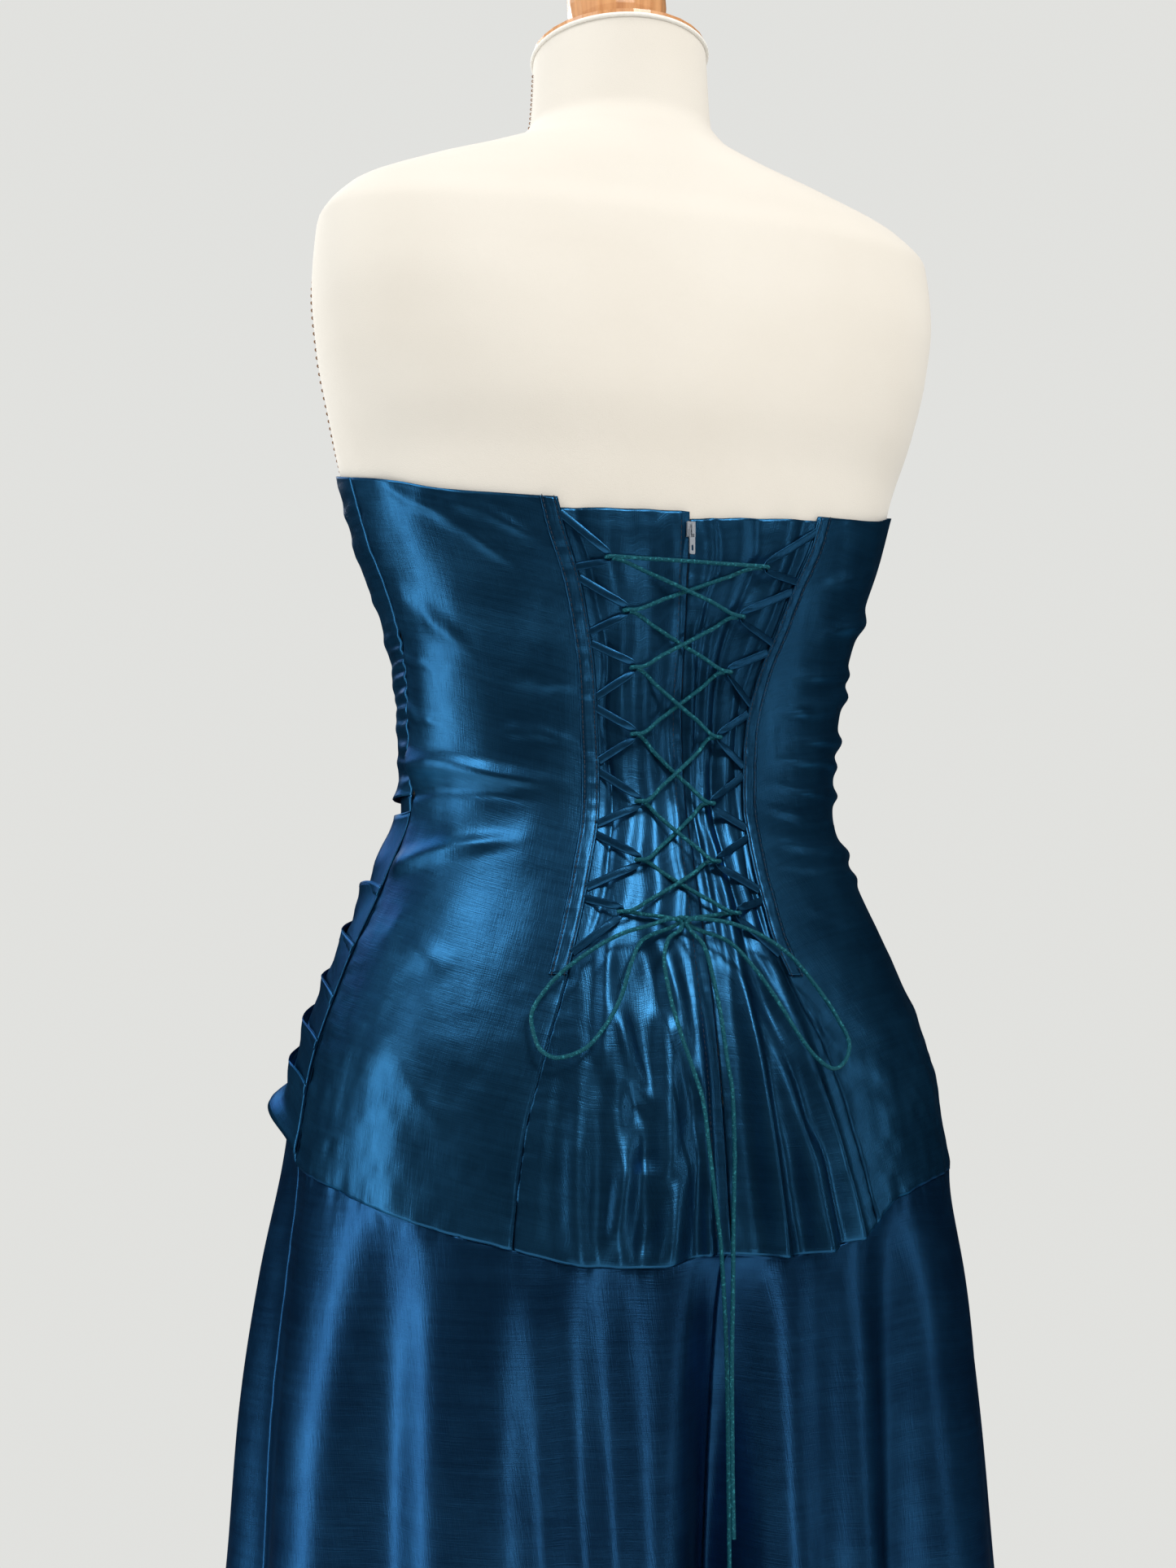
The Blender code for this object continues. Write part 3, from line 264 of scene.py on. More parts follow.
BOW_RIGHT = table_of(Route,
    (-1.5, 0.9880, 0.0150), (-6.8, 0.9841, 0.0145), (-14.7, 0.9713, 0.0135),
    (-19.6, 0.9552, 0.0110), (-23.5, 0.9343, 0.0100), (-24.6, 0.9196, 0.0110),
    (-22.4, 0.9095, 0.0130), (-19.3, 0.9051, 0.0150), (-16.1, 0.9111, 0.0160),
    (-13.3, 0.9257, 0.0150), (-10.6, 0.9430, 0.0150), (-7.4, 0.9604, 0.0145), (-3.2, 0.9765, 0.0110)
)
END_LEFT = table_of(Route,
    (9.6, 0.9770, 0.0155), (10.6, 0.9633, 0.0150), (9.8, 0.9443, 0.0150), (8.6, 0.9272, 0.0155),
    (6.7, 0.9058, 0.0155), (5.2, 0.8876, 0.0150), (4.5, 0.8630, 0.0135), (3.9, 0.8420, 0.0120),
    (2.6, 0.8060, 0.0060), (1.6, 0.7400, -0.0020), (1.4, 0.6700, -0.0070), (1.2, 0.6050, -0.0120)
)
END_RIGHT = table_of(Route,
    (2.4, 0.9736, 0.0140), (1.1, 0.9562, 0.0120), (0.3, 0.9357, 0.0110), (-0.2, 0.9101, 0.0100),
    (-0.7, 0.8914, 0.0095), (-0.5, 0.8662, 0.0085), (0.5, 0.8226, 0.0080), (1.0, 0.7852, 0.0060),
    (1.6, 0.7405, 0.0050), (1.7, 0.6960, 0.0030), (1.5, 0.6560, 0.0000)
)

# Camera, fitted to the photo's outline
CAMERA_AZIMUTH = 159.5
CAMERA_DISTANCE = 1.5
CAMERA_Z = 0.935
CAMERA_PITCH = 5.5
FOCAL_PIXELS = 2950.0
PHOTO_SIZE = (1445, 1927)
AXIS_OFFSET_PIXELS = 34.5
FLOOR_RADIUS, FLOOR_SIDES = 2.6, 96
SURROUND, SURROUND_REFLECTED = (0.755, 0.757, 0.735, 1.0), (0.024, 0.024, 0.026, 1.0)
COOL_LIGHT, WARM_LIGHT, PALE_LIGHT = (0.97, 0.99, 1.0), (1.0, 0.98, 0.95), (1.0, 0.99, 0.97)


def column(table, name):
    return np.array([getattr(row, name) for row in table], float)


def smooth(knots, values, at):
    """A curve through a table's column that never swings past its values: cubic pieces whose slopes are the
    harmonic means of the neighbouring steps."""
    at = np.clip(at, knots[0], knots[-1])
    step = np.diff(knots)
    rise = np.diff(values) / step
    before, after = rise[:-1], rise[1:]
    turning = before * after <= 0
    total = np.where(turning, 1.0, before + after)
    inner = np.where(turning, 0.0, 2 * before * after / total)
    slope = np.concatenate([rise[:1], inner, rise[-1:]])
    i = np.clip(np.searchsorted(knots, at) - 1, 0, len(knots) - 2)
    t = (at - knots[i]) / step[i]
    places = (1 + 2 * t) * (1 - t) ** 2 * values[i] + t ** 2 * (3 - 2 * t) * values[i + 1]
    return places + step[i] * t * (1 - t) * ((1 - t) * slope[i] - t * slope[i + 1])


def read(table, key, name, at):
    return smooth(column(table, key), column(table, name), np.asarray(at, float))


def around(angle):
    """The same angle between -180 and 180."""
    return (np.asarray(angle, float) + 180.0) % 360.0 - 180.0


def bump(distance, half_width):
    """A soft ridge's height: 1 on its line, 0.37 at half_width."""
    return np.exp(-((distance / half_width) ** 2))


def unit(x):
    """x held between 0 and 1."""
    return np.clip(x, 0.0, 1.0)


def between(first, last, share):
    return first + (last - first) * share


def whole_turn(count):
    """Angles evenly spaced round a circle, in radians."""
    return np.linspace(0.0, 2 * np.pi, count, endpoint=False)


def ease(x):
    """0 to 1 with level ends as x goes from 0 to 1."""
    x = unit(x)
    return x * x * (3 - 2 * x)


def patchy(x, y, seed):
    """Smooth random heights between -1 and 1 with one knot for each unit of x and y."""
    table = np.random.default_rng(seed).uniform(-1.0, 1.0, (64, 64))
    x, y = np.broadcast_arrays(np.asarray(x, float), np.asarray(y, float))
    i, j = np.floor(x).astype(int), np.floor(y).astype(int)
    u, v = ease(x - i), ease(y - j)
    pick = lambda a, b: table[(i + a) % 64, (j + b) % 64]
    low = pick(0, 0) * (1 - u) + pick(1, 0) * u
    return low * (1 - v) + (pick(0, 1) * (1 - u) + pick(1, 1) * u) * v


def bust(angle, z):
    from_line = np.abs(np.abs(around(angle)) - (180.0 - BUST_ANGLE))
    return BUST_HEIGHT * bump(from_line, BUST_SPREAD_ANGLE) * bump(z - BUST_Z, BUST_SPREAD_Z)


def on_body(angle, z, out=0.0):
    """Points on the body's sections: radius = (|sin/half width|^n + |cos/depth|^n)^(-1/n) + bust + out."""
    angle, z, out = np.broadcast_arrays(*(np.asarray(value, float) for value in (angle, z, out)))
    half_width, back, front, centre, squareness = (read(BODY, "z", name, z) for name in Section._fields[1:])
    side, rear = np.sin(np.radians(angle)), np.cos(np.radians(angle))
    depth = np.where(rear > 0, back, front)
    power = np.abs(side / half_width) ** squareness + np.abs(rear / depth) ** squareness
    radius = power ** (-1.0 / squareness) + bust(angle, z) + out
    return np.stack([radius * side, radius * rear + centre, z], axis=-1)


def hip_seam(angle):
    return read(HIP_SEAM, "angle", "z", around(angle))


def top_edge(angle):
    return read(TOP_EDGE, "angle", "z", np.abs(around(angle)))


def lacing_edge(side, z):
    return side * read(LACING_EDGE, "z", WORD[side], z)


class Value:
    """A shader socket that takes part in arithmetic: each operation adds its Math node."""

    def __init__(self, look, socket):
        self.look = look
        self.socket = socket

    def calc(self, operation, *values):
        return self.look.node("Math", {"operation": operation}, dict(enumerate((self, *values))))

    def __add__(self, other):
        return self.calc("ADD", other)

    def __mul__(self, other):
        return self.calc("MULTIPLY", other)

    __radd__ = __add__
    __rmul__ = __mul__


class Look:
    """A procedural material in the making."""

    def __init__(self, name):
        self.material = bpy.data.materials.new(name)
        self.material.use_nodes = True
        self.tree = self.material.node_tree
        self.tree.nodes.clear()

    def node(self, kind, settings=(), values=(), output=0):
        """Adds a node: its settings first, then the values or links of its sockets. Returns one output."""
        made = self.tree.nodes.new("ShaderNode" + kind)
        for name, value in dict(settings).items():
            setattr(made, name, value)
        for name, value in dict(values).items():
            if isinstance(value, Value):
                self.tree.links.new(value.socket, made.inputs[name])
            else:
                made.inputs[name].default_value = value
        return Value(self, made.outputs[output])

    def place(self, source="Object"):
        return self.node("TexCoord", output=source)

    def scaled(self, vector, x, y, z):
        return self.node("VectorMath", {"operation": "MULTIPLY"}, {0: vector, 1: (x, y, z)})

    def noise(self, vector, scale, detail=3.0, roughness=0.5):
        values = {"Vector": vector, "Scale": scale, "Detail": detail, "Roughness": roughness}
        return self.node("TexNoise", {}, values)

    def spread(self, value, low, high, to_low=0.0, to_high=1.0):
        values = {0: value, 1: low, 2: high, 3: to_low, 4: to_high}
        return self.node("MapRange", {"interpolation_type": "SMOOTHSTEP"}, values)

    def blend(self, factor, first, second):
        """The colour sockets of a Mix node are 6 and 7, and its colour output is 2."""
        return self.node("Mix", {"data_type": "RGBA"}, {0: factor, 6: (*first, 1.0), 7: (*second, 1.0)}, 2)

    def raised(self, height, distance, strength=1.0):
        return self.node("Bump", {}, {"Height": height, "Distance": distance, "Strength": strength})

    def finish(self, **sockets):
        values = {name.replace("_", " "): value for name, value in sockets.items()}
        shader = self.node("BsdfPrincipled", {}, values)
        out = self.tree.nodes.new("ShaderNodeOutputMaterial")
        self.tree.links.new(shader.socket, out.inputs["Surface"])
        return self.material


def taffeta(name, deep, bright):
    """Shot taffeta: crosswise ribs and slubs, with a patchy shift between its two thread colours."""
    look = Look(name)
    cloth_place = look.place("UV")
    ribs = look.noise(look.scaled(cloth_place, 50.0, 1500.0, 1.0), 1.0, 2.0)
    threads = look.noise(look.scaled(cloth_place, 1500.0, 60.0, 1.0), 1.0, 1.0)
    slubs = look.noise(look.scaled(cloth_place, 12.0, 300.0, 1.0), 1.0, 3.0)
    crush = look.noise(look.place(), 24.0, 4.0, 0.6)
    tone = look.spread(slubs, 0.30, 0.70) * 0.14 + look.spread(crush, 0.35, 0.68) * 0.40 + ribs * 0.30
    colour = look.blend(tone, deep, bright)
    crinkle = look.noise(look.place(), 95.0, 3.0, 0.55)
    height = ribs * 0.14 + threads * 0.14 + slubs * 0.10 + crinkle * 0.30
    roughness = 0.25 + slubs * 0.09 + threads * 0.09
    return look.finish(Base_Color=colour, Metallic=0.92, Roughness=roughness,
                       Normal=look.raised(height, 0.0006),
                       Specular_Tint=(0.30, 0.31, 0.33, 1.0), Specular_IOR_Level=0.20)


def waxed_cord(name):
    """Waxed round cord: tight braid with pale specks where the wax has cracked."""
    look = Look(name)
    braid = look.node("TexVoronoi", {"feature": "F1"}, {"Vector": look.place(), "Scale": 1300.0})
    specks = look.spread(look.noise(look.place(), 620.0, 3.0), 0.54, 0.70)
    colour = look.blend(specks, (0.004, 0.058, 0.084), (0.022, 0.175, 0.220))
    return look.finish(Base_Color=colour, Roughness=0.46, Normal=look.raised(braid, 0.0005, 0.8),
                       Specular_Tint=(0.35, 0.80, 0.90, 1.0), Specular_IOR_Level=0.25)


def grained(name, scale, detail, first, second, roughness, raised=0.0):
    """A plain look whose two colours, and its relief if it has any, follow one fine noise."""
    look = Look(name)
    grain = look.noise(look.place(), scale, detail)
    sockets = {"Base_Color": look.blend(grain, first, second), "Roughness": roughness}
    if raised:
        sockets["Normal"] = look.raised(grain, raised)
    return look.finish(**sockets)


def jersey(name):
    """Cream jersey stretched over a padded form, with a fine knit and faint soiling."""
    look = Look(name)
    knit = look.noise(look.scaled(look.place(), 1400.0, 1400.0, 2600.0), 1.0, 2.0)
    soiling = look.noise(look.place(), 5.0, 4.0)
    colour = look.blend(look.spread(soiling, 0.30, 0.75), (0.640, 0.602, 0.545), (0.601, 0.559, 0.497))
    weave = look.noise(look.place(), 60.0, 3.0)
    return look.finish(Base_Color=colour, Roughness=0.88, Sheen_Weight=0.15,
                       Normal=look.raised(knit * 0.4 + weave * 0.6, 0.0005, 0.6))


def varnished_wood(name):
    """Turned beech under an amber varnish: long grain drawn out along the turning axis."""
    look = Look(name)
    grain = look.noise(look.scaled(look.place(), 160.0, 160.0, 14.0), 1.0, 4.0, 0.6)
    pores = look.noise(look.scaled(look.place(), 900.0, 900.0, 60.0), 1.0, 2.0)
    colour = look.blend(look.spread(grain, 0.32, 0.70), (0.46, 0.20, 0.075), (0.64, 0.33, 0.145))
    return look.finish(Base_Color=colour, Roughness=0.26 + pores * 0.12, Coat_Weight=0.35,
                       Coat_Roughness=0.12, Normal=look.raised(pores, 0.0003, 0.4))


def brushed_metal(name, colour, roughness, metallic=1.0):
    look = Look(name)
    scratches = look.noise(look.scaled(look.place(), 90.0, 90.0, 1800.0), 1.0, 3.0)
    tint = look.blend(scratches, colour, tuple(c * 0.72 for c in colour))
    return look.finish(Base_Color=tint, Metallic=metallic, Roughness=roughness + scratches * 0.18,
                       Normal=look.raised(scratches, 0.0002, 0.4))


def linked(name, data):
    made = bpy.data.objects.new(name, data)
    bpy.context.scene.collection.objects.link(made)
    return made


def add_mesh(name, points, faces, look):
    mesh = bpy.data.meshes.new(name)
    mesh.from_pydata(np.asarray(points).reshape(-1, 3).tolist(), [], np.asarray(faces).tolist())
    mesh.materials.append(look)
    mesh.shade_smooth()
    return linked(name, mesh)


def settle(piece, slot, *nodes):
    """The piece rides on the dress and stands for its CAD nodes, which are hidden; slot is not used."""
    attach(piece, BODY_NAME)
    if nodes:
        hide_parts(*nodes)
    return piece


def grid_faces(rows, columns, closed=False):
    """Quads of a grid, row by row: with rows going up and columns to greater angles they face out."""
    index = np.arange(rows * columns).reshape(rows, columns)
    if closed:
        index = np.concatenate([index, index[:, :1]], axis=1)
    return np.stack([index[:-1, :-1], index[1:, :-1], index[1:, 1:], index[:-1, 1:]], axis=-1).reshape(-1, 4)


def add_uv(mesh, u, v):
    """A UV map in metres of cloth: u across and v along."""
    corners = np.empty(len(mesh.loops), int)
    mesh.loops.foreach_get("vertex_index", corners)
    flat = np.stack([np.ravel(u), np.ravel(v)], axis=-1)[corners]
    mesh.uv_layers.new(name="cloth").data.foreach_set("uv", flat.ravel())


def lengths(points, axis):
    """Running length along one axis of a grid of points."""
    steps = np.linalg.norm(np.diff(points, axis=axis), axis=-1)
    zero = np.zeros_like(np.take(steps, [0], axis=axis))
    return np.concatenate([zero, np.cumsum(steps, axis=axis)], axis=axis)


def cut_of(points):
    """(width, length, area) of the flat cloth in a grid: mean row, mean column, sum of its quads."""
    across, up = np.diff(points, axis=1)[:-1], np.diff(points, axis=0)[:, :-1]
    area = float(np.linalg.norm(np.cross(across, up), axis=-1).sum())
    return float(lengths(points, 1)[:, -1].mean()), float(lengths(points, 0)[-1].mean()), area


def cloth(name, points, look, nodes, thickness=CLOTH):
    """A thin shell on a grid of points, outer side first."""
    rows, columns = points.shape[:2]
    piece = add_mesh(name, points, grid_faces(rows, columns), look)
    add_uv(piece.data, lengths(points, 1), lengths(points, 0))
    wall = piece.modifiers.new("wall", "SOLIDIFY")
    wall.thickness = thickness
    wall.offset = -1.0
    settle(piece, "taffeta", *nodes)
    width, length, area = cut_of(points)
    area = min(area, width * length)
    return piece


def panel(z_bottom, z_top, edge_start, edge_end, rows, columns):
    """(angle, z, share across) of a panel's grid: its edges are functions of z, its ends of angle."""
    share_up = np.linspace(0.0, 1.0, rows)[:, None]
    across = np.linspace(0.0, 1.0, columns)[None, :]
    z = np.broadcast_to(0.8 + 0.45 * share_up, (rows, columns))
    for _ in range(4):
        angle = edge_start(z) * (1 - across) + edge_end(z) * across
        z = z_bottom(angle) * (1 - share_up) + z_top(angle) * share_up
    return angle, z, np.broadcast_to(across, angle.shape)


def side_panel(side, z_bottom, z_top, inner, outer, rows, columns):
    """panel() on one side of the centre back; its shares run outwards from the inner edge on both sides."""
    edges = (inner, outer) if side > 0 else (outer, inner)
    angle, z, across = panel(z_bottom, z_top, *edges, rows, columns)
    return angle, z, across if side > 0 else 1 - across


def seam_shape(distance, along, seed, pucker=0.0006):
    """Height near a seam, distance metres from it: a narrow dip, and puckers that die away in 12 mm."""
    dip = -SEAM_DIP * np.exp(-distance / SEAM_DIP_WIDTH)
    waves = patchy(along / 0.0075, 0.5 + distance / 0.02, seed)
    waves = waves + 0.5 * patchy(along / 0.0035, distance / 0.02, seed + 1)
    return dip + pucker * (waves + 0.6) * np.exp(-distance / 0.009)


def hip_seam_shape(angle, distance, seed, pucker):
    return seam_shape(distance, np.radians(angle) * SEAM_RADIUS, seed, pucker)


def crease_height(creases, angle, z, seed):
    """Sum of the drawn creases: each wanders a little, is full at its start and thins out at its end."""
    total = np.zeros(np.broadcast(angle, z).shape)
    for number, crease in enumerate(creases):
        span = crease.angle_end - crease.angle
        run = unit((angle - crease.angle) / span)
        beyond = np.abs(angle - crease.angle - run * span)
        wander = 0.0022 * patchy(run * 3.0 + number, number * 1.7, seed)
        line = between(crease.z, crease.z_end, run) + wander
        fade = ease((1.0 - run) * 2.2) * (0.8 + 0.2 * patchy(run * 5.0, number, seed + 2))
        width = crease.half_width * (0.75 + 0.25 * np.cos(np.pi * run))
        total += CREASE_SHARE * crease.height * fade * bump(z - line, width) * bump(beyond, 4.0)
    return total


def side_back_base(side, angle, z):
    return crease_height(CREASES[side], np.abs(angle), z, 11 if side > 0 else 23)


def side_back(side, look):
    """The plain panel from the lacing edge to the side seam: body + creases + puckers at its edges."""
    inner = lambda z: lacing_edge(side, z)
    outer = lambda z: side * SIDE_SEAM + 0 * z
    angle, z, from_lacing = side_panel(side, hip_seam, top_edge, inner, outer, rows=210, columns=78)
    seed = 31 if side > 0 else 41
    out = side_back_base(side, angle, z)
    out = out + seam_shape((1 - from_lacing) * SIDE_BACK_WIDTH, z, seed, 0.0007)
    out = out + seam_shape(from_lacing * SIDE_BACK_WIDTH, z, seed + 3, 0.0003)
    out = out + hip_seam_shape(angle, z - hip_seam(angle), seed + 5, 0.0007)
    out = out + 0.0007 * patchy(angle / 7.0, z / 0.045, seed + 7) * ease(from_lacing * 6)
    crush = 0.0005 * patchy(angle / 2.4, z / 0.010, seed + 8) * ease((1.02 - z) / 0.15)
    out = out + crush * (1.4 if side < 0 else 0.7)
    top = np.exp(-(top_edge(angle) - z) / 0.004)
    out = out + 0.0006 + top * (0.0006 * patchy(angle / 4.0, 0.3, seed + 9) + 0.0004)
    name = "side_back_" + WORD[side]
    return cloth(name + "_panel", on_body(angle, z, out), look, [name])


def strip_grid(side, rows, shares):
    """(angle, z) of the strip along the lacing edge, shares being parts of its width from the edge."""
    z = np.linspace(STRIP_BOTTOM_Z, STRIP_TOP_Z, rows)[:, None] + 0 * shares
    edge = lacing_edge(side, z)
    radius = np.hypot(*np.moveaxis(on_body(edge, z), -1, 0)[:2])
    upturn = 0.0012 * shares * ease((z - 1.215) / 0.015)
    return edge + side * shares * np.degrees(STRIP_WIDTH / radius), z + upturn


def lacing_strip(side, look):
    """The strip that finishes the lacing edge: crowned, with two sewn grooves 1.6 mm from its edges."""
    shares = np.linspace(0.0, 1.0, 13)[None, :]
    shares = shares if side > 0 else shares[:, ::-1]
    angle, z = strip_grid(side, 200, shares)
    crown = 0.0008 * (1 - (2 * shares - 1) ** 6)
    groove = 0.0006 * (bump(shares - 0.17, 0.06) + bump(shares - 0.83, 0.06))
    pucker = 0.0003 * patchy(z / 0.004, shares * 2, 51 + side)
    piped = 0.0008 * bump(shares - 0.06, 0.09) * (1.0 if side < 0 else 0.5)
    out = side_back_base(side, angle, z) + 0.0013 + crown - groove + pucker + piped
    name = "lacing_strip_" + WORD[side]
    return cloth(name + "_band", on_body(angle, z, out), look, [name], thickness=0.0010)


def gather_out(side, angle, z):
    """Height of a centre back panel: wandering upright folds behind the lacing, deep gathers below it."""
    fall = unit((GATHER_TOP_Z - z) / (GATHER_TOP_Z - 0.80))
    edge = np.abs(lacing_edge(side, z))
    across = unit(np.abs(angle) / edge)
    seed = 61 if side > 0 else 71
    wander = across + 0.08 * patchy(z / 0.050, across * 1.6, seed)
    wander = wander + 0.03 * patchy(z / 0.021, across * 3, seed + 1)
    bent = across * 5 + 1.5 * patchy(z / 0.05, across * 2, seed + 4)
    total = 0.0008 * patchy(bent, z / 0.030, seed + 3) * (1 - 0.75 * ease(fall * 4))
    for number, fold in enumerate(UPRIGHTS[side]):
        strength = 0.72 + 0.28 * patchy(z / 0.045, number, seed + 2)
        ridge = bump(wander - fold.share, fold.half_share)
        total = total + fold.height * strength * ridge * (1 - ease(fall * 5))
    for gather in GATHERS[side]:
        line = between(gather.angle, gather.angle_end, fall)
        line = line + 0.25 * patchy(z / 0.04, gather.angle, seed + 5)
        grown = np.sin(np.pi * fall / 2) ** 1.2
        total = total + gather.height * grown * bump(angle - line, gather.half_angle)
    for fold in FOLDS[side]:
        run = (z - fold.z) / (fold.z_end - fold.z)
        line = between(fold.angle, fold.angle_end, unit(run))
        line = line + 0.14 * patchy(z / 0.03, fold.angle, seed + 6)
        length = ease(unit(run) * 3) * ease((1.06 - run) * 4)
        total = total + FOLD_SHARE * fold.height * length * bump(angle - line, FOLD_SPREAD * fold.half_angle)
    window = ease(across / 0.08) * ease((1 - across) / 0.09)
    crush = 0.00010 * patchy(angle / 1.4, z / 0.008, seed + 8) * window * ease(fall * 3)
    return total * window + crush


def centre_back(side, look):
    """The gathered panel behind the lacing: body + folds + seam dips, with its upper edge finished level."""
    top = lambda angle: between(*CENTRE_TOP[side], unit(np.abs(angle) / 40.0))
    inner = lambda z: side * 0.05 + 0 * z
    outer = lambda z: lacing_edge(side, z) + side * 0.25 * ease((z - 0.955) / 0.02)
    angle, z, from_zip = side_panel(side, hip_seam, top, inner, outer, rows=250, columns=92)
    seed = 81 if side > 0 else 91
    out = gather_out(side, angle, z) + 0.0003
    out = out + seam_shape(from_zip * CENTRE_BACK_WIDTH, z, seed, 0.0004)
    out = out + seam_shape((1 - from_zip) * CENTRE_BACK_WIDTH, z, seed + 3, 0.0005) * ease((0.97 - z) / 0.02)
    out = out + hip_seam_shape(angle, z - hip_seam(angle), seed + 5, 0.0007)
    name = "centre_back_" + WORD[side]
    return cloth(name + "_panel", on_body(angle, z, out), look, [name])


def front_edges():
    return (lambda z: SIDE_SEAM + 0 * z), (lambda z: 360.0 - SIDE_SEAM + 0 * z)


def waist_seam(angle):
    return WAIST_SEAM_Z + 0 * np.asarray(angle, float)


def front_bodice(look):
    """The gathered front: ridges |sin| of a height phase that noise bends, small gathers at both seams."""
    angle, z, across = panel(waist_seam, top_edge, *front_edges(), rows=160, columns=150)
    height = (z - waist_seam(angle)) / (top_edge(angle) - waist_seam(angle))
    bend = 0.35 * patchy(across * 6, height * 5, 101) + 0.12 * patchy(across * 18, height * 9, 102)
    phase = RUCHES * (height + RUCHE_SLOPE / 0.2 * (across - 0.5)) + bend
    ridge = 1 - np.abs(np.cos(np.pi * phase)) ** 1.6
    strength = 0.62 + 0.38 * patchy(across * 5, phase, 103)
    top_fade = ease((1 - height) / 0.07)
    edge = np.minimum(across, 1 - across)
    near_seam = 0.10 + 0.90 * ease(edge / 0.20)
    phase_small = RUCHES * 2.6 * height + 0.6 * patchy(across * 8, height * 8, 104)
    small = 0.0007 * bump(edge, 0.08) * np.sin(2 * np.pi * phase_small) * ease((0.62 - height) / 0.2)
    fine = 0.0004 * patchy(across * 40, height * 34 + 6 * across, 105)
    flare = BODICE_FOOT_FLARE * bump(height, 0.035) * ease(edge / 0.05)
    out = 0.0008 + (RUCHE_HEIGHT * ridge * strength * near_seam + small + fine) * top_fade + flare
    out = out - 0.0006 * np.exp(-edge * FRONT_WIDTH / SEAM_DIP_WIDTH)
    return cloth("front_bodice_ruched", on_body(angle, z, out), look, ["front_bodice"])


def front_hip(look):
    """The plain front hip panel under the drape, with a few drag lines."""
    angle, z, across = panel(hip_seam, waist_seam, *front_edges(), rows=80, columns=100)
    edge = np.minimum(across, 1 - across) * FRONT_WIDTH
    out = 0.0008 + 0.0007 * patchy(angle / 12.0, z / 0.05, 111) + seam_shape(edge, z, 112)
    out = out + hip_seam_shape(angle, z - hip_seam(angle), 113, 0.0006)
    return cloth("front_hip_panel", on_body(angle, z, out), look, ["front_hip"])


def drape_line(left_z, right_z, angle):
    turn = np.asarray(angle, float) - SIDE_SEAM
    share = unit(turn / (360.0 - 2 * SIDE_SEAM))
    climb = DRAPE_RISE * (1 - np.exp(-turn / DRAPE_RISE_ANGLE)) * (1 - share) ** 0.5
    return between(left_z, right_z, share) + climb * (left_z < 1.0)


def front_drape(look):
    """One sheet folded into pleats: each climbs out to its upper fold, turns over it and goes back in and
    down behind it, then on up as the next. The folds stand PLEAT_LIP off the body, less at the side seams."""
    pleats = len(PLEAT_LEVELS) - 1
    part = np.linspace(0.0, 1.0, 19)[:-1]
    step = np.append(np.concatenate([part + pleat for pleat in range(pleats)]), pleats - 0.001)
    pleat, part = np.floor(step).astype(int), step - np.floor(step)
    climb = unit(part / PLEAT_FOLD_AT)
    back = unit((part - PLEAT_FOLD_AT) / (1 - PLEAT_FOLD_AT))
    low, high = np.array(PLEAT_LEVELS)[pleat], np.array(PLEAT_LEVELS)[pleat + 1]
    last = pleat == pleats - 1
    hidden = PLEAT_RETURN * ~last
    heights = between(low, high + hidden, climb) - hidden * ease(back * 1.1)
    stand = np.where(part < PLEAT_FOLD_AT, climb ** 1.6, 1 - ease(back)) * np.where(last, 0.3, 1.0)
    heights, stand, number = heights[:, None], stand[:, None], pleat[:, None] + (part[:, None] > 0.86)
    across = np.linspace(0.0, 1.0, 170)[None, :]
    angle = SIDE_SEAM + 0.1 + (360.0 - 2 * SIDE_SEAM - 0.2) * across + 0 * heights
    near_seam = ease(np.minimum(angle - SIDE_SEAM, 360.0 - SIDE_SEAM - angle) / 14.0)
    wave = 0.035 * patchy(across * 7, number * 1.3, 121) * ease(heights * 6) * near_seam
    foot = drape_line(DRAPE_FOOT_LEFT_Z, DRAPE_FOOT_RIGHT_Z, angle)
    head = drape_line(DRAPE_TOP_LEFT_Z, DRAPE_TOP_RIGHT_Z, angle)
    z = between(foot, head, heights + wave)
    uneven = 1.0 + 0.35 * patchy(across * 9, number, 122)
    root = PLEAT_ROOT * (0.25 + 0.75 * near_seam)
    lip = root + (PLEAT_LIP - PLEAT_ROOT) * stand * uneven * near_seam
    curl = DRAPE_CURL * bump(heights, 0.05) * bump(angle - 106.0, 12.0)
    bulge = 0.0030 * bump(heights - 0.86, 0.10) * near_seam
    soft = 0.0006 * patchy(across * 26, heights * 20, 123) * near_seam
    out = 0.0012 + lip + curl + bulge + soft
    return cloth("front_drape_pleats", on_body(angle, z, out), look, ["front_drape"])


def skirt_out(angle, z):
    """Depth of the skirt's folds: each grows as the power FOLD_GROWTH of the fall, softly uneven."""
    top = hip_seam(angle)
    fall = unit((top - z) / (top - HEM_Z))
    total = np.zeros(np.broadcast(angle, z).shape)
    for number, valley in enumerate(VALLEYS):
        line = between(valley.angle, valley.angle_end, fall ** 0.5)
        line = line + 0.8 * patchy(fall * 4, number, 131) * ease(fall * 3) * (valley.depth < 0.1)
        total -= valley.depth * bump(around(angle - line), valley.half_angle)
    soft = 0.0016 * patchy(angle / 9.0 + 40, fall * 3.0, 132) * ease(fall * 4)
    drag = 0.0004 * patchy(angle / 4.0 + 40, fall * 12.0, 133) * ease(fall * 12) * (1 - 0.5 * fall)
    return total * fall ** FOLD_GROWTH + soft + drag


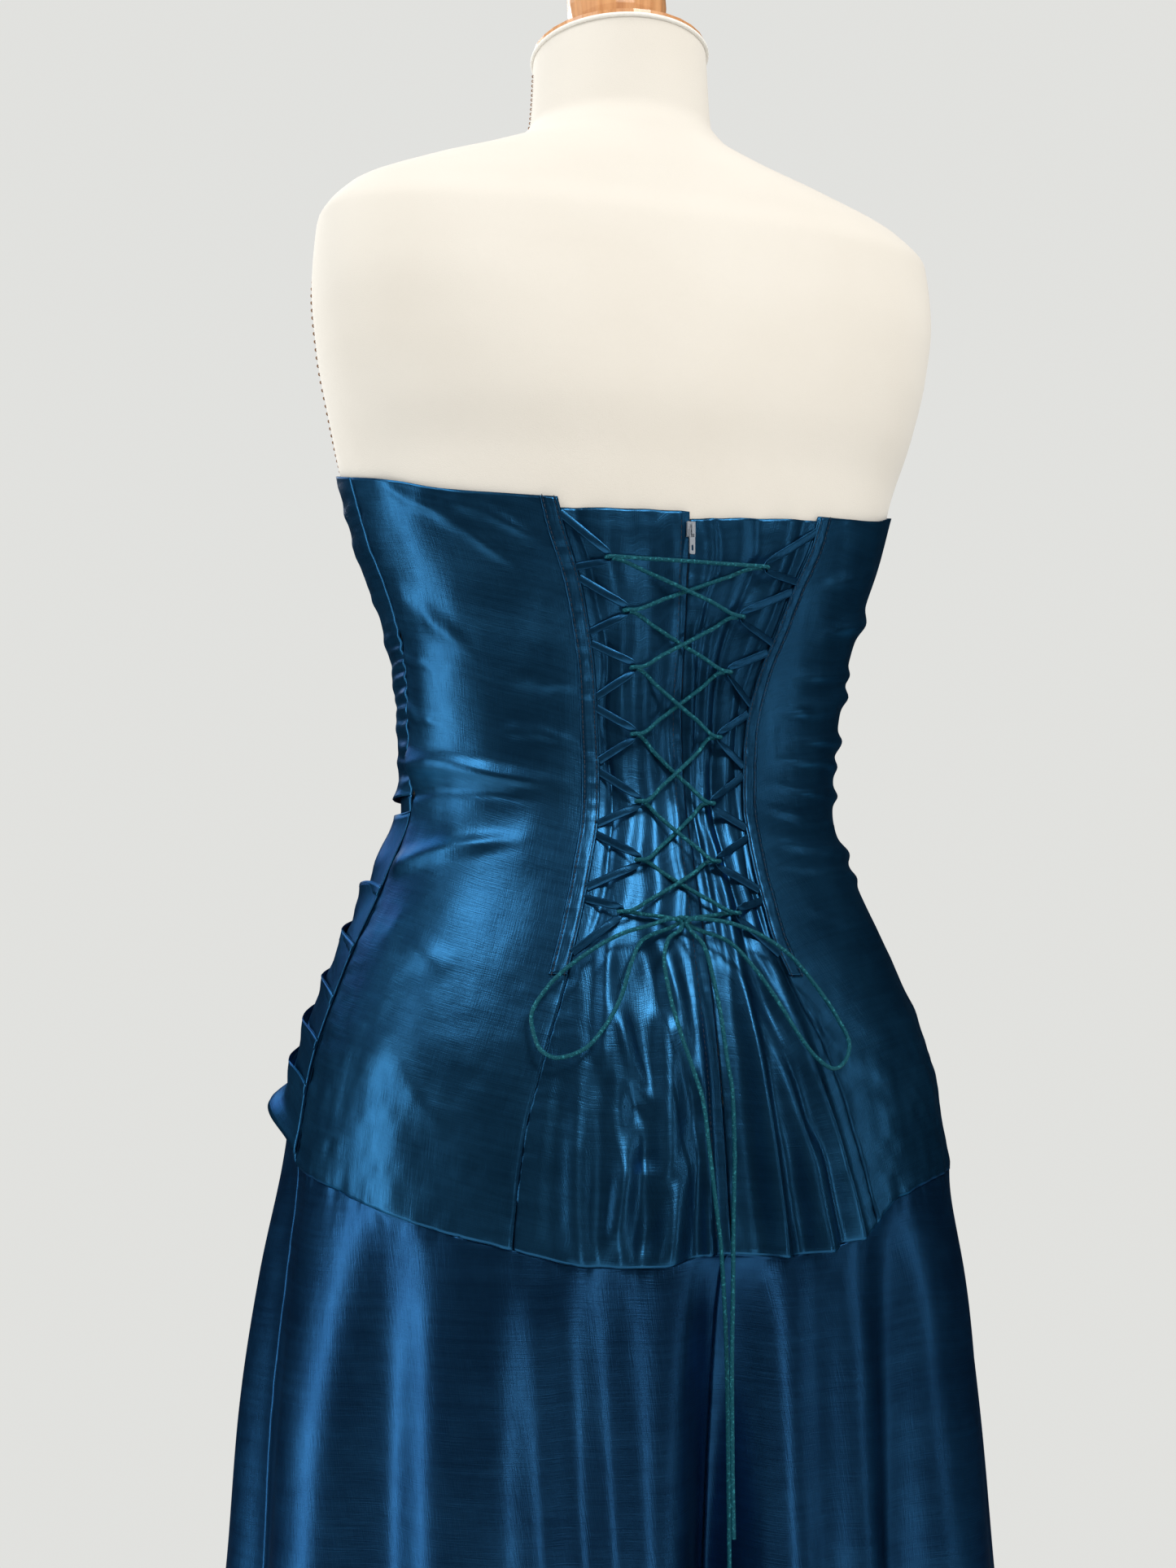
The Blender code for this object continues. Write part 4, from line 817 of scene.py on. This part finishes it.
def skirt_panel(name, start, end, columns, width, look):
    """A gore, width metres wide: body sections + folds, its rows closer together near the hip seam."""
    hem = lambda angle: HEM_Z + 0 * angle
    angle, z, across = panel(hem, hip_seam, start, end, rows=150, columns=columns)
    share_up = (z - HEM_Z) / (hip_seam(angle) - HEM_Z)
    z = between(HEM_Z, hip_seam(angle), 1 - (1 - share_up) ** 1.35)
    edge = np.minimum(across, 1 - across) * width
    out = skirt_out(angle, z) + seam_shape(edge, z, 141, 0.0003)
    out = out + hip_seam_shape(angle, hip_seam(angle) - z, 142, 0.0008)
    hem_line = 0.0010 * bump(z - HEM_Z - HEM_STITCH_RISE, 0.0022)
    return cloth(name + "_gore", on_body(angle, z, out - hem_line), look, [name])


def centre_seam(z):
    """Angle of the skirt's centre back seam, which swings to the left as it falls."""
    fall = unit((CENTRE_SEAM_TOP_Z - z) / (CENTRE_SEAM_TOP_Z - HEM_Z))
    return 0.6 + 2.0 * fall ** 0.5


def skirt(look):
    left_seam = lambda z: SIDE_SEAM + 0 * z
    right_seam = lambda z: 360.0 - SIDE_SEAM + 0 * z
    skirt_panel("skirt_front", left_seam, right_seam, 180, 0.9, look)
    skirt_panel("skirt_back_left", centre_seam, left_seam, 140, 0.4, look)
    skirt_panel("skirt_back_right", lambda z: -left_seam(z), centre_seam, 140, 0.4, look)


def tip_angle(side, row):
    """Signed angle of a loop's tip; a row holds both sides' as positive numbers."""
    return side * getattr(row, WORD[side])


def loop_axes(side, row):
    """(inward, outward) unit vectors at a loop's tip: towards the centre back, and away from the body."""
    angle = tip_angle(side, row)
    along = on_body(angle - side * 1.0, row.z) - on_body(angle + side * 1.0, row.z)
    inward = along / np.linalg.norm(along)
    outward = np.cross([0.0, 0.0, 1.0], inward) * -side
    return inward, outward


def tip_of(side, row):
    return on_body(tip_angle(side, row), row.z, LOOP_LIFT)


def alongside(points, values, count):
    """Values given at a few points of a path, read at count places evenly spaced along it."""
    steps = np.linalg.norm(np.diff(np.asarray(points, float), axis=0), axis=1)
    length = np.concatenate([[0.0], np.cumsum(steps)])
    return smooth(length, np.asarray(values, float), np.linspace(0.0, length[-1], count))


def through(points, count):
    """count points, evenly spaced along a smooth curve through a few."""
    return np.column_stack([alongside(points, axis, count) for axis in np.transpose(points)])


def flat_tube(path, across, half_width, half_thick, sides):
    """Rings of a flat tube: path + half_width cos a across + half_thick sin a (tangent x across)."""
    tangent = np.gradient(path, axis=0)
    tangent /= np.linalg.norm(tangent, axis=1)[:, None]
    across = across - (across * tangent).sum(axis=1)[:, None] * tangent
    across /= np.linalg.norm(across, axis=1)[:, None]
    through_wall = np.cross(tangent, across)
    turn = whole_turn(sides)[None, :, None]
    wide = across[:, None] * half_width[:, None, None] * np.cos(turn)
    return path[:, None] + wide + through_wall[:, None] * half_thick * np.sin(turn)


def lacing_loops(side, look):
    """Flat rouleau loops: each leaves the strip, turns on edge round the lace and comes back."""
    up = np.array([0.0, 0.0, 1.0])
    for number, row in enumerate(LACING):
        root_z = LOOP_TOP_Z - LOOP_PITCH * number
        inward, outward = loop_axes(side, row)
        turns = np.radians([70, 35, 0, -35, -70])
        bend = [tip_of(side, row) + LOOP_BEND * (np.cos(a) * inward + np.sin(a) * up) for a in turns]
        roots = [on_body(lacing_edge(side, np.array(z)) + side * 0.25, z, LOOP_ROOT_OUT - ROULEAU_SINK)
                 for z in (root_z, root_z - LOOP_SPREAD)]
        legs = [between(root, end, 0.55) + outward * 0.0004 for root, end in zip(roots, (bend[0], bend[-1]))]
        route = [roots[0], legs[0], *bend, legs[1], roots[1]]
        path = through(route, ROULEAU_STEPS)
        flat = np.radians(alongside(route, [90, 88, 50, 16, 0, -16, -50, -88, -90], ROULEAU_STEPS))
        across = np.sin(flat)[:, None] * up + np.cos(flat)[:, None] * outward
        half_width = ROULEAU_HALF_EDGE + ROULEAU_SPREAD * np.sin(flat) ** 2
        rings = flat_tube(path, across, half_width, ROULEAU_HALF_THICK, ROULEAU_SIDES)
        name = f"loop_{WORD[side]}_{number + 1}"
        faces = grid_faces(ROULEAU_STEPS, ROULEAU_SIDES, True)[:, ::-1]
        piece = add_mesh(name + "_rouleau", rings, faces, look)
        around_it = np.linspace(0.0, 0.010, ROULEAU_SIDES)[None, :] + 0 * rings[..., 0]
        add_uv(piece.data, around_it, lengths(rings, 0))
        settle(piece, "taffeta", name)


def knot_exit(direction, side):
    """Where a strand leaves the knot: a place just inside its surface, and one KNOT_LEAD outside it."""
    way = np.array(direction) * (side, 1.0, 1.0)
    way /= np.linalg.norm(way)
    touch = 1.0 / np.linalg.norm(way / KNOT_HALF_SIZE)
    centre = on_body(KNOT.angle, KNOT.z, KNOT.out)
    return centre + way * (touch - 0.0022), centre + way * (touch + KNOT_LEAD)


def turn_at(side, row):
    """The lace's half turn through a loop's tip."""
    inward, outward = loop_axes(side, row)
    tip = tip_of(side, row) + LOOP_BEND * inward
    swing = np.radians([78, 128, 180, 232, 282])
    return [tip + LACE_TURN * (np.cos(a) * inward + np.sin(a) * outward) for a in swing]


def strand(start, end, raised):
    """Points of one crossing, from behind one loop to the front of the next, raised in its middle."""
    points = []
    for share in (0.25, 0.5, 0.75):
        out = LOOP_LIFT + LACE_TURN * (2 * share ** 2 - 1) + raised * np.sin(np.pi * share)
        angle, z = (between(first, last, share) for first, last in zip(start, end))
        points.append(on_body(angle, z, out))
    return points


def descent(side):
    """The lace's way down from the top loop of one side to the knot, crossing over at each row."""
    points = []
    raised = LACE_CROSS * side
    before = None
    for row in LACING:
        place = (tip_angle(side, row) - side * LACE_TURN_ANGLE, row.z)
        if before:
            points.extend(strand(before, place, raised))
        points.extend(turn_at(side, row))
        before = place
        side = -side
    touch, lead = knot_exit(EXIT_WOVEN, -side)
    points.append((points[-1] + lead) / 2)
    return points + [lead, touch]


def cord(name, path, look, radius=LACE_RADIUS):
    curve = bpy.data.curves.new(name, "CURVE")
    curve.dimensions = "3D"
    curve.bevel_depth = radius
    curve.bevel_resolution = 3
    curve.use_fill_caps = True
    spline = curve.splines.new("POLY")
    spline.points.add(len(path) - 1)
    spline.points.foreach_set("co", np.column_stack([path, np.ones(len(path))]).ravel())
    curve.materials.append(look)
    return linked(name, curve)


def free_cord(name, route, count, side, leave, back, node, look):
    """A bow loop or a free end of the lace, from the knot along its route."""
    places = [*knot_exit(leave, side), *on_body(*(column(route, field) for field in Route._fields))]
    if back:
        places += knot_exit(back, side)[::-1]
    path = through(places, count)
    piece = settle(cord(name, path, look), "lace", node)
    return piece


def lace(look):
    """The lace: woven through the loops, knotted, with two bow loops and two free ends."""
    left, right = LACING[0].left - LACE_TURN_ANGLE, LACE_TURN_ANGLE - LACING[0].right
    over = [on_body(between(left, right, share), LACING[0].z, 0.0070) for share in (0.25, 0.5, 0.75)]
    woven = through(descent(LEFT)[::-1] + over + descent(RIGHT), 1300)
    settle(cord("lace_woven_cord", woven, look), "lace", "lace_woven")
    for part, side, route, count in (("bow", LEFT, BOW_LEFT, 130), ("bow", RIGHT, BOW_RIGHT, 130),
                                     ("end", LEFT, END_LEFT, 200), ("end", RIGHT, END_RIGHT, 170)):
        leave, back = (EXIT_BOW, EXIT_BOW_BACK) if part == "bow" else (EXIT_END, None)
        node = f"lace_{part}_{WORD[side]}"
        free_cord(node + "_cord", route, count, side, leave, back, node, look)
    t = np.linspace(0.15, 2 * np.pi - 0.15, 90)
    trefoil = [np.sin(t) + 2 * np.sin(2 * t), -np.sin(3 * t) * 1.2, np.cos(t) - 2 * np.cos(2 * t)]
    path = on_body(KNOT.angle, KNOT.z, KNOT.out) + np.transpose(trefoil) * KNOT_SCALE
    settle(cord("lace_knot_cord", path, look, KNOT_CORD_RADIUS), "lace", "lace_knot")


def zip_chain(look):
    """The zip's closed coil, sunk between the two centre back panels: one turn of thread every 1.1 mm."""
    turns = int((ZIP_TOP_Z - ZIP_FOOT_Z) / COIL_PITCH)
    s = np.linspace(0.0, 1.0, turns * 6)
    path = on_body(0.0 * s, between(ZIP_FOOT_Z, ZIP_TOP_Z, s), -0.0007)
    path[:, 0] += 0.00035 * np.sin(2 * np.pi * turns * s)
    path[:, 1] += 0.00025 * np.cos(2 * np.pi * turns * s)
    settle(cord("zip_coil", path, look, COIL_RADIUS), "zip_metal", "zip_chain")


def stitches(name, places, angle, length, radius, look, slot="taffeta"):
    """Short bowed tubes, one at each place along the line's own direction: 5 rings of 5 points each. They
    bow away from the body's axis, level, at the places' angles."""
    away = np.radians(angle) + 0 * places[:, 0]
    normals = np.stack([np.sin(away), np.cos(away), 0 * away], axis=-1)
    along = np.gradient(places, axis=0)
    along /= np.linalg.norm(along, axis=1)[:, None]
    sideways = np.cross(along, normals)
    s = np.array([-1.0, -0.75, 0.0, 0.75, 1.0])
    lift = radius * np.array([-1.0, 0.35, 0.75, 0.35, -1.0])
    turn = whole_turn(5)
    wide = sideways[:, None, None] * np.cos(turn)[:, None] + normals[:, None, None] * np.sin(turn)[:, None]
    rings = (places[:, None, None] + along[:, None, None] * (s * length / 2)[:, None, None]
             + normals[:, None, None] * lift[:, None, None] + wide * radius)
    faces = grid_faces(5, 5, True)
    count = len(places)
    faces = (faces[None] + 25 * np.arange(count)[:, None, None]).reshape(-1, 4)
    return settle(add_mesh(name, rings, faces, look), slot)


def sewing(look):
    """Rows of stitches on the lacing strips and beside the zip."""
    for side in (LEFT, RIGHT):
        for share in (0.17, 0.83):
            angle, z = strip_grid(side, 95, np.array([[share]]))
            places = on_body(angle, z, side_back_base(side, angle, z) + 0.0019)[:, 0]
            name = f"strip_stitches_{WORD[side]}_{int(share * 100)}"
            stitches(name, places, angle[:, 0], 0.0021, 0.00022, look)
    z = np.linspace(0.812, 1.222, 130)
    angle = 2.9 + 0 * z
    places = on_body(angle, z, gather_out(LEFT, angle, z) + 0.0003)
    stitches("zip_stitches", places, angle, 0.0022, 0.0002, look)


def leaned(points):
    """The same points with the neck's rim brought down towards the front."""
    share = unit((points[..., 2] - LEAN_START_Z) / (NECK_Z - LEAN_START_Z))
    ahead = BODY[-1].centre + BODY[-1].back - points[..., 1]
    points[..., 2] -= np.tan(np.radians(NECK_LEAN)) * ahead * share
    return points


def form_torso(look):
    """The padded form: the body's own sections COVER_DEPTH further in, and tucked in more below the waist."""
    z = np.concatenate([np.linspace(0.884, 1.40, 110), np.linspace(1.403, NECK_Z - 0.002, 50),
                        [NECK_Z, NECK_Z]])
    angle = np.linspace(0.0, 360.0, 144, endpoint=False)
    z, angle = np.meshgrid(z, angle, indexing="ij")
    tuck = COVER_TUCK * (z < 1.10) * ease((1.12 - z) / 0.06)
    points = on_body(angle, z, -COVER_DEPTH - tuck)
    points[-1] = (0.0, BODY[-1].centre, NECK_Z)
    piece = add_mesh("form_torso_cover", leaned(points), grid_faces(*z.shape, True), look)
    add_uv(piece.data, np.radians(angle) * 0.15, z)
    return settle(piece, "form_jersey", "form_torso")


def form_trim(pipe_look, thread_look):
    """White piping round the neck, and brown stitches up the neck's seams and round each arm plate."""
    rim = leaned(on_body(np.linspace(0.0, 360.0, 160), NECK_Z - 0.0012, -0.0016))
    settle(cord("neck_piping", rim, pipe_look, PIPING_RADIUS), "form_jersey")
    for side, angle, low in ((LEFT, 99.0, 1.487), (RIGHT, -82.0, 1.500)):
        places = leaned(on_body(angle, np.linspace(low, 1.538, 15), -0.0016))
        name = "neck_seam_stitches_" + WORD[side]
        stitches(name, places, angle, 0.0018, 0.0004, thread_look, "form_jersey")
    for side in (LEFT, RIGHT):
        turn = np.linspace(0.0, 2 * np.pi, 110)
        angle = side * (110.0 - 13.0 * np.cos(turn))
        places = on_body(angle, 1.345 + 0.085 * np.sin(turn), -0.0019)
        name = "arm_plate_stitches_" + WORD[side]
        stitches(name, places, angle, 0.0022, 0.0005, thread_look, "form_jersey")


def dress_nodes(wood, stand, zip_look):
    """Materials of the CAD nodes that stay as they are."""
    looks = {"neck_cap": wood, "neck_knob": wood, "stand_base": stand, "stand_pole": stand,
             "zip_slider": zip_look, "zip_pull_tab": zip_look}
    for name, look in looks.items():
        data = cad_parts[name].data
        data.materials.clear()
        data.materials.append(look)


def place_camera():
    """A camera whose level axis and upward tilt were fitted to the photo."""
    azimuth, pitch = np.radians(CAMERA_AZIMUTH), np.radians(CAMERA_PITCH)
    yaw = np.arctan(AXIS_OFFSET_PIXELS / FOCAL_PIXELS)
    ahead = np.array([-np.sin(azimuth), np.cos(azimuth), 0.0])
    right = np.array([np.cos(azimuth), np.sin(azimuth), 0.0])
    level = ahead * np.cos(yaw) - right * np.sin(yaw)
    back = -(level * np.cos(pitch) + np.array([0.0, 0.0, np.sin(pitch)]))
    side = np.cross([0.0, 0.0, 1.0], back)
    side /= np.linalg.norm(side)
    camera = linked("camera", bpy.data.cameras.new("camera"))
    camera.data.sensor_fit = "VERTICAL"
    camera.data.sensor_height = 36.0
    camera.data.lens = FOCAL_PIXELS / PHOTO_SIZE[1] * 36.0
    turned = Matrix([side, np.cross(back, side), back]).transposed()
    camera.rotation_euler = turned.to_euler()
    camera.location = Vector((-ahead[0] * CAMERA_DISTANCE, -ahead[1] * CAMERA_DISTANCE, CAMERA_Z))
    bpy.context.scene.camera = camera


def softbox(name, azimuth, elevation, distance, width, height, watts, colour, aim=(0.0, 0.0, 1.0)):
    """A rectangular light round the object, facing it."""
    light = bpy.data.lights.new(name, "AREA")
    light.shape = "RECTANGLE"
    light.size, light.size_y = width, height
    light.energy = watts
    light.color = colour
    a, e = np.radians(azimuth), np.radians(elevation)
    lamp = linked(name, light)
    place = Vector((np.sin(a) * np.cos(e), -np.cos(a) * np.cos(e), np.sin(e))) * distance + Vector(aim)
    lamp.location = place
    lamp.rotation_euler = (place - Vector(aim)).to_track_quat("Z", "Y").to_euler()


def studio():
    """Pale floor, a pale surround, and soft boxes at the photo's light directions."""
    turn = whole_turn(FLOOR_SIDES)
    rim = np.column_stack([FLOOR_RADIUS * np.cos(turn), FLOOR_RADIUS * np.sin(turn), 0 * turn - 0.0005])
    pale = grained("floor", 3.0, 4.0, (0.74, 0.74, 0.73), (0.70, 0.70, 0.69), 0.75)
    add_mesh("floor", rim, [np.arange(FLOOR_SIDES)], pale)
    world = bpy.data.worlds.new("surround")
    bpy.context.scene.world = world
    world.use_nodes = True
    nodes, links = world.node_tree.nodes, world.node_tree.links
    path = nodes.new("ShaderNodeLightPath")
    mix = nodes.new("ShaderNodeMix")
    mix.data_type = "RGBA"
    mix.inputs[6].default_value = SURROUND
    mix.inputs[7].default_value = SURROUND_REFLECTED
    links.new(path.outputs["Is Glossy Ray"], mix.inputs[0])
    links.new(mix.outputs[2], nodes["Background"].inputs["Color"])
    softbox("left_box", 74.0, 0.0, 2.6, 0.8, 2.6, 27.0, COOL_LIGHT)
    softbox("left_high_box", 96.0, 50.0, 2.6, 1.3, 0.8, 22.0, COOL_LIGHT)
    softbox("key_box", 190.0, 44.0, 2.4, 0.65, 0.7, 24.0, WARM_LIGHT)
    softbox("low_box", 180.0, -16.0, 2.2, 0.30, 0.4, 2.4, WARM_LIGHT, (0.0, 0.0, 1.15))
    softbox("front_box", 15.0, 30.0, 3.0, 1.4, 1.6, 36.0, PALE_LIGHT)
    softbox("right_box", 236.0, 6.0, 3.0, 0.20, 1.8, 4.5, PALE_LIGHT)
    softbox("crease_box", 232.0, 58.0, 2.6, 0.9, 0.35, 9.0, PALE_LIGHT)
    bpy.context.scene.view_settings.view_transform = "Standard"


def main():
    place_camera()
    blue = taffeta("shot_taffeta", (0.012, 0.066, 0.148), (0.026, 0.134, 0.284))
    # The skirt is the same taffeta as the bodice in darker colours: painted shade for the dimmer light on the
    # skirt.
    skirt_taffeta_painted_shade = taffeta("shot_taffeta_painted_shade_skirt", (0.010, 0.048, 0.124), (0.021, 0.102, 0.240))
    lace(waxed_cord("waxed_cord"))
    for side in (LEFT, RIGHT):
        side_back(side, blue)
        centre_back(side, blue)
        lacing_strip(side, blue)
        lacing_loops(side, blue)
    front_bodice(blue)
    front_hip(blue)
    front_drape(blue)
    skirt(skirt_taffeta_painted_shade)
    navy = grained("navy_thread", 2500.0, 1.0, (0.004, 0.010, 0.024), (0.012, 0.030, 0.060), 0.65)
    zip_chain(navy)
    sewing(navy)
    form_torso(jersey("cream_jersey"))
    form_trim(grained("neck_piping", 900.0, 2.0, (0.82, 0.80, 0.76), (0.70, 0.67, 0.61), 0.8, 0.0004),
              grained("brown_thread", 1500.0, 2.0, (0.20, 0.10, 0.05), (0.33, 0.18, 0.10), 0.8))
    dress_nodes(varnished_wood("varnished_beech"),
                brushed_metal("brushed_steel", (0.56, 0.56, 0.57), 0.28),
                brushed_metal("zip_nickel", (0.42, 0.45, 0.50), 0.22, 0.4))
    studio()


main()
